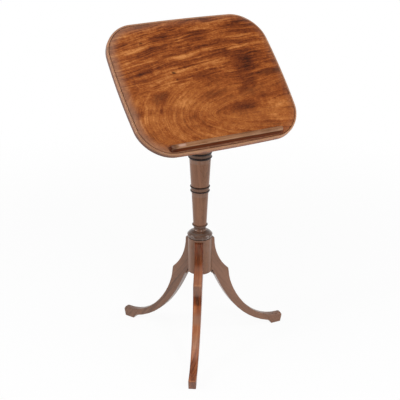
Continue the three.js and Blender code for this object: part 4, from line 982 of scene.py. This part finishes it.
def board_edge():
    """Levels of the moulded edge, from the underside round to the field: inset and drop."""
    levels = [(UNDER_ROUND + UNDER_MARGIN, BOARD_THICKNESS)]
    for i in range(UNDER_STEPS + 1):
        a = math.pi / 2 * i / UNDER_STEPS
        levels.append((UNDER_ROUND * (1 - math.sin(a)) + FINE_EDGE,
                       BOARD_THICKNESS - UNDER_ROUND * (1 - math.cos(a))))
    for i in range(RIM_STEPS + 1):
        a = math.pi * i / RIM_STEPS
        depth = GROOVE_DEPTH if i * 2 > RIM_STEPS else RIM_RISE
        levels.append((RIM_WIDTH * (1 - math.cos(a)) / 2 + FINE_EDGE, depth * (1 - math.sin(a))))
    groove_end = RIM_WIDTH + GROOVE_WIDTH
    levels.append((groove_end, COVE_LIP + GROOVE_FOOT))
    for i in range(RIM_STEPS + 1):
        t = i / RIM_STEPS
        levels.append((groove_end + GROOVE_SLANT + COVE_RUN * t,
                       FIELD_DROP + (COVE_LIP - FIELD_DROP) * (1 - t) ** 2))
    levels.append((groove_end + COVE_RUN + FIELD_MARGIN, FIELD_DROP))
    return levels


levels = board_edge()
rings = [board_outline(inset) for inset, _ in levels]
corners = [(x, y, BOARD_TOP - drop) for ring, (_, drop) in zip(rings, levels) for x, y in ring]
faces = skinned(len(rings[0]), len(rings))
add_piece("dished_top", corners, faces, board_place, "top_board", finishes["top_mahogany"], sharp=40)

# %% [markdown]
# ## The book ledge
# The ledge is a length of moulding that stops the book. A hollow runs along its front and
# returns round both ends, under a thin lip, and behind the lip the top swells and falls away.
# Drawn in plan it is a rounded bar at every height, drawn in at the front and the ends by the
# hollow and at the back by the swell, so it is stacked from such plans.

# %% The ledge's plans from foot to crown
LEDGE_LENGTH, LEDGE_INSET, LEDGE_WIDTH, LEDGE_HEIGHT = 381, 13, 19, 16
LEDGE_FOOT, LEDGE_SETBACK, LEDGE_LIP, LEDGE_BACK = 2.6, 4.6, 12, 8
LEDGE_NOSE, LEDGE_HEEL, LEDGE_SEAT, LEDGE_GAP = 9.4, 3.5, 0.6, 0.3
LEDGE_CROWN = (LEDGE_WIDTH + LEDGE_SETBACK) / 2
CROWN_SLIT, NOSE_PLAY = 0.05, 0.01  # they keep the narrowest plans from closing up
HOLLOW_STEPS, ROUND_STEPS = 12, 10
ledge_front = BOARD_FORWARD - BOARD_DEPTH / 2 + LEDGE_INSET
ledge_foot = BOARD_TOP - FIELD_DROP + LEDGE_GAP


def ledge_levels():
    """Pairs of inset from the front and height, from the foot up the hollow to the crown."""
    levels = [(0, -LEDGE_SEAT), (0, LEDGE_FOOT)]
    levels += swept(levels[-1], (LEDGE_SETBACK, LEDGE_FOOT), (LEDGE_SETBACK, LEDGE_LIP), HOLLOW_STEPS)
    crown = (LEDGE_CROWN - CROWN_SLIT, LEDGE_HEIGHT)
    return levels + swept(levels[-1], (LEDGE_SETBACK, LEDGE_HEIGHT), crown, HOLLOW_STEPS)


def back_inset(height):
    """How far the back of the ledge has fallen away at a height."""
    t = 1 - math.sqrt(1 - max(height - LEDGE_BACK, 0) / (LEDGE_HEIGHT - LEDGE_BACK))
    return (LEDGE_WIDTH - LEDGE_CROWN) * t * t


def ledge_plan(inset, height):
    half = LEDGE_LENGTH / 2 - inset
    front = ledge_front + inset
    rear = ledge_front + LEDGE_WIDTH - back_inset(height)
    depth = rear - front
    nose, heel = min(LEDGE_NOSE, depth / 2 + NOSE_PLAY), min(LEDGE_HEEL, depth / 2)
    points = []
    for quarter, (sx, sy, radius) in enumerate(((1, 1, heel), (-1, 1, heel), (-1, -1, nose), (1, -1, nose))):
        middle_y = rear - radius if sy > 0 else front + radius
        points += corner_arc(sx * (half - radius), middle_y, radius, quarter, ROUND_STEPS)
    return [(x, y, ledge_foot + height) for x, y in points]


plans = [ledge_plan(inset, height) for inset, height in ledge_levels()]
print("ledge:", len(plans), "plans of", len(plans[0]), "corners")

# %% [markdown]
# ## The ledge's finish
# The ledge's hollow is painted dark as shade under its lip, and pages have rubbed the front of
# its top. Near its left end a pale painted highlight lies on the top, and the end itself is
# darker. Each is placed by how far a point lies from the ledge's left end, its front and its foot.

# %% The ledge's finish
LEDGE_TONES = ("4c2c18", "85583a", "a07452", "b88f70")
# the hollow under the lip is painted dark as shade, with less coat
HOLLOW_SHADE_SHARE, HOLLOW_SHADE_PAINT, HOLLOW_GLOSS = 0.92, "5a250a", -0.22
LIP_FRONT, LIP_BACK, LIP_OVER, LIP_UNDER = 0.2, 0.8, 0.4, 1.5  # how softly the hollow ends at the lip
LIP_WIDTH, LIP_SOFT, LIP_SHARE = 1.5, 1, 0.14
# a pale painted highlight on the ledge's top near its left end
LEDGE_HIGHLIGHT_ALONG, LEDGE_HIGHLIGHT_DEPTH = (30, 42, 9), (9, 13, 3)  # from, to and how soft
LEDGE_HIGHLIGHT_SHARE, LEDGE_HIGHLIGHT_PAINT = 0.65, "c9a696"
END_FROM, END_FULL, END_SHARE, END_PAINT = 26, 12, 0.6, "45231a"


def on_ledge(tree):
    """How far a place lies from the ledge's left end, its front and its foot, in metres."""
    u, v, w = board_place_of(tree)
    return u + LEDGE_LENGTH / 2 * MM, v - ledge_front * MM, w - ledge_foot * MM


def in_hollow(tree):
    """1 in the ledge's hollow and down to its foot, by depth and height."""
    _, depth, height = on_ledge(tree)
    depth = depth.least(abs(abs(board_place_of(tree)[0]) - LEDGE_LENGTH / 2 * MM))
    under_lip = depth.rising((LEDGE_SETBACK + LIP_BACK) * MM, (LEDGE_SETBACK - LIP_FRONT) * MM)
    return under_lip * height.rising((LEDGE_LIP + LIP_OVER) * MM, (LEDGE_LIP - LIP_UNDER) * MM)


def rubbed_lip(tree):
    """Lighter along the front of the ledge's top, where pages have rubbed it."""
    start, end = LEDGE_SETBACK - LIP_FRONT, LEDGE_SETBACK + LIP_WIDTH
    return band_mm(on_ledge(tree)[1], start, end, LIP_SOFT) * LIP_SHARE


def ledge_highlight_patch(tree):
    """A pale painted highlight on the top of the ledge near its left end."""
    along, depth, _ = on_ledge(tree)
    return band_mm(along, *LEDGE_HIGHLIGHT_ALONG) * band_mm(depth, *LEDGE_HIGHLIGHT_DEPTH) * LEDGE_HIGHLIGHT_SHARE


def dark_end(tree):
    """The ledge's left end is darker."""
    return on_ledge(tree)[0].rising(END_FROM * MM, END_FULL * MM) * END_SHARE


def ledge_finish():
    return mahogany("ledge_mahogany", pivot, along_ledge, up_slope, LEDGE_TONES, polish=0.30,
                    colour_layers=[(lambda tree: in_hollow(tree) * HOLLOW_SHADE_SHARE, HOLLOW_SHADE_PAINT),
                            (ledge_highlight_patch, LEDGE_HIGHLIGHT_PAINT), (dark_end, END_PAINT)],
                    tone_shift=rubbed_lip, gloss=lambda tree: in_hollow(tree) * HOLLOW_GLOSS, shine=0.08)


add_piece("moulded_ledge", sum(plans, []), skinned(len(plans[0]), len(plans)), board_place, "book_ledge",
          ledge_finish(), sharp=40)

# %% [markdown]
# ## The floor and the light
# The table stands on a plain white floor in a white studio. Two tall soft boxes stand at its
# sides, and a wide one hangs over it, so the turned work carries a pale stripe down each flank
# and stays quiet in the middle. Two narrow windows towards the camera add gleams on the
# mouldings. The floor is white to the camera and still takes a soft shadow.

# %% Floor
FLOOR_RADIUS, FLOOR_SIDES = 14, 96
SHADOW_SHARE = 0.07  # how much of the floor's white comes from the lamps, and so can be shaded
SHADOW_FADE = (0.7, 2.4)  # the shadow fades out between these, in metres from the middle
FLOOR_LEVEL, LIT_LEVEL, FLOOR_ROUGHNESS = 0.8, 0.9, 0.8


def grey(level):
    return (level, level, level, 1)


def blended(tree, share, first, second):
    """One shader mixed with another, by a number."""
    return Wire.node(tree, "ShaderNodeMixShader", values=dict(enumerate((share, first, second))))


def ray_is(tree, kind):
    return Wire.node(tree, "ShaderNodeLightPath", output=f"Is {kind} Ray")


def floor_finish():
    material, tree, shader = new_finish("white_floor")
    attach(tree, shader, Base_Color=grey(FLOOR_LEVEL), Roughness=FLOOR_ROUGHNESS)
    seen = (ray_is(tree, "Camera") + ray_is(tree, "Glossy")).limited()
    far = surface_place(tree).length().rising(*SHADOW_FADE)
    white = Wire.node(tree, "ShaderNodeEmission", values={"Color": grey(1), "Strength": 1.0})
    lit = Wire.node(tree, "ShaderNodeBsdfDiffuse", values={"Color": grey(LIT_LEVEL)})
    shown = blended(tree, (1.0 - SHADOW_SHARE) + far * SHADOW_SHARE, lit, white)
    mixed = blended(tree, seen, Wire(tree, shader.outputs["BSDF"]), shown)
    tree.links.new(mixed.socket, tree.nodes["Material Output"].inputs["Surface"])
    return material


floor_mesh = bpy.data.meshes.new("floor")
floor_work = bmesh.new()
bmesh.ops.create_circle(floor_work, cap_ends=True, segments=FLOOR_SIDES, radius=FLOOR_RADIUS)
floor_work.to_mesh(floor_mesh)
floor_work.free()
floor = add_object("floor", floor_mesh)
floor.data.materials.append(floor_finish())

# %% World and lamps
WORLD_LIGHT = 0.75
WORLD_DIM = 0.12  # brightness of the dark side of the room, above and behind the camera
DIM_ELEVATION, DIM_SIDE, CEILING = math.radians(10), (-0.1, 0.75), (0.25, 0.8)
LAMP_AIM = 550 * MM
LAMPS = {  # turn from the camera and elevation in degrees, distance, width, height, and watts
    "left_box": (-84, 14, 1.9, 0.9, 1.7, 9), "right_box": (80, 14, 1.9, 0.9, 1.7, 14),
    "top_box": (-30, 70, 2.1, 1.4, 1.4, 17), "left_window": (-61, 24, 2.8, 0.5, 0.9, 20),
    "right_window": (26, 24, 2.8, 0.5, 0.9, 24),
}


def white_world():
    """A white room whose camera side and ceiling are dim; the camera sees plain white."""
    world = bpy.data.worlds.new("studio")
    world.use_nodes = True
    tree = world.node_tree
    seen = ray_is(tree, "Camera").limited()
    direction = Wire.node(tree, "ShaderNodeTexCoord", output="Generated")
    front = direction.dot(from_azimuth(CAMERA_AZIMUTH, DIM_ELEVATION)).rising(*DIM_SIDE)
    ceiling = direction.dot(UPRIGHT).rising(*CEILING)
    room = WORLD_LIGHT - front.most(ceiling) * (WORLD_LIGHT - WORLD_DIM)
    attach(tree, tree.nodes["Background"], Color=grey(1), Strength=room + seen * (1.0 - room))
    bpy.context.scene.world = world


def soft_box(name, turn, elevation, distance, width, height, power):
    """A rectangular lamp round the table, aimed at the middle of its column."""
    lamp = bpy.data.lights.new(name, "AREA")
    lamp.shape = "RECTANGLE"
    lamp.size, lamp.size_y, lamp.energy = width, height, power
    holder = add_object(name, lamp)
    towards = from_azimuth(CAMERA_AZIMUTH + math.radians(turn), math.radians(elevation))
    holder.location = Vector((axis_x, axis_y, LAMP_AIM)) + distance * towards
    holder.rotation_mode = "QUATERNION"
    holder.rotation_quaternion = (-towards).to_track_quat("-Z", "Y")


white_world()
for name, row in LAMPS.items():
    soft_box(name, *row)
print("lamps:", ", ".join(LAMPS))
bpy.context.scene.view_settings.view_transform = "Standard"

# %% [markdown]
# ## Worn edges
# No edge on an old table is sharp. Every solid that keeps its own shape gets its edges eased by a
# hair, which catches the light as a thin line, as it does on the legs. The solids come as loose
# triangles, so their corners are joined and their flat faces made whole before the bevel.

# %% Ease the edges
EASE = {"wood": 0.9 * MM, "metal": 0.25 * MM}
EASE_ANGLE, FLAT_ANGLE = math.radians(38), math.radians(0.3)
METALS = ("brass", "iron", "steel")
for node, piece in frame["nodes"].items():
    piece.data.shade_smooth()
    piece.modifiers.new("joined_corners", "WELD").merge_threshold = MERGE_DISTANCE * MM
    flats = piece.modifiers.new("whole_flats", "DECIMATE")
    flats.decimate_type = "DISSOLVE"
    flats.angle_limit = FLAT_ANGLE
    bevel = piece.modifiers.new("eased_edges", "BEVEL")
    bevel.width = EASE["metal" if slot_of[node] in METALS else "wood"]
    bevel.segments = 2
    bevel.limit_method = "ANGLE"
    bevel.angle_limit = EASE_ANGLE
    piece.modifiers.new("even_shading", "WEIGHTED_NORMAL").keep_sharp = True
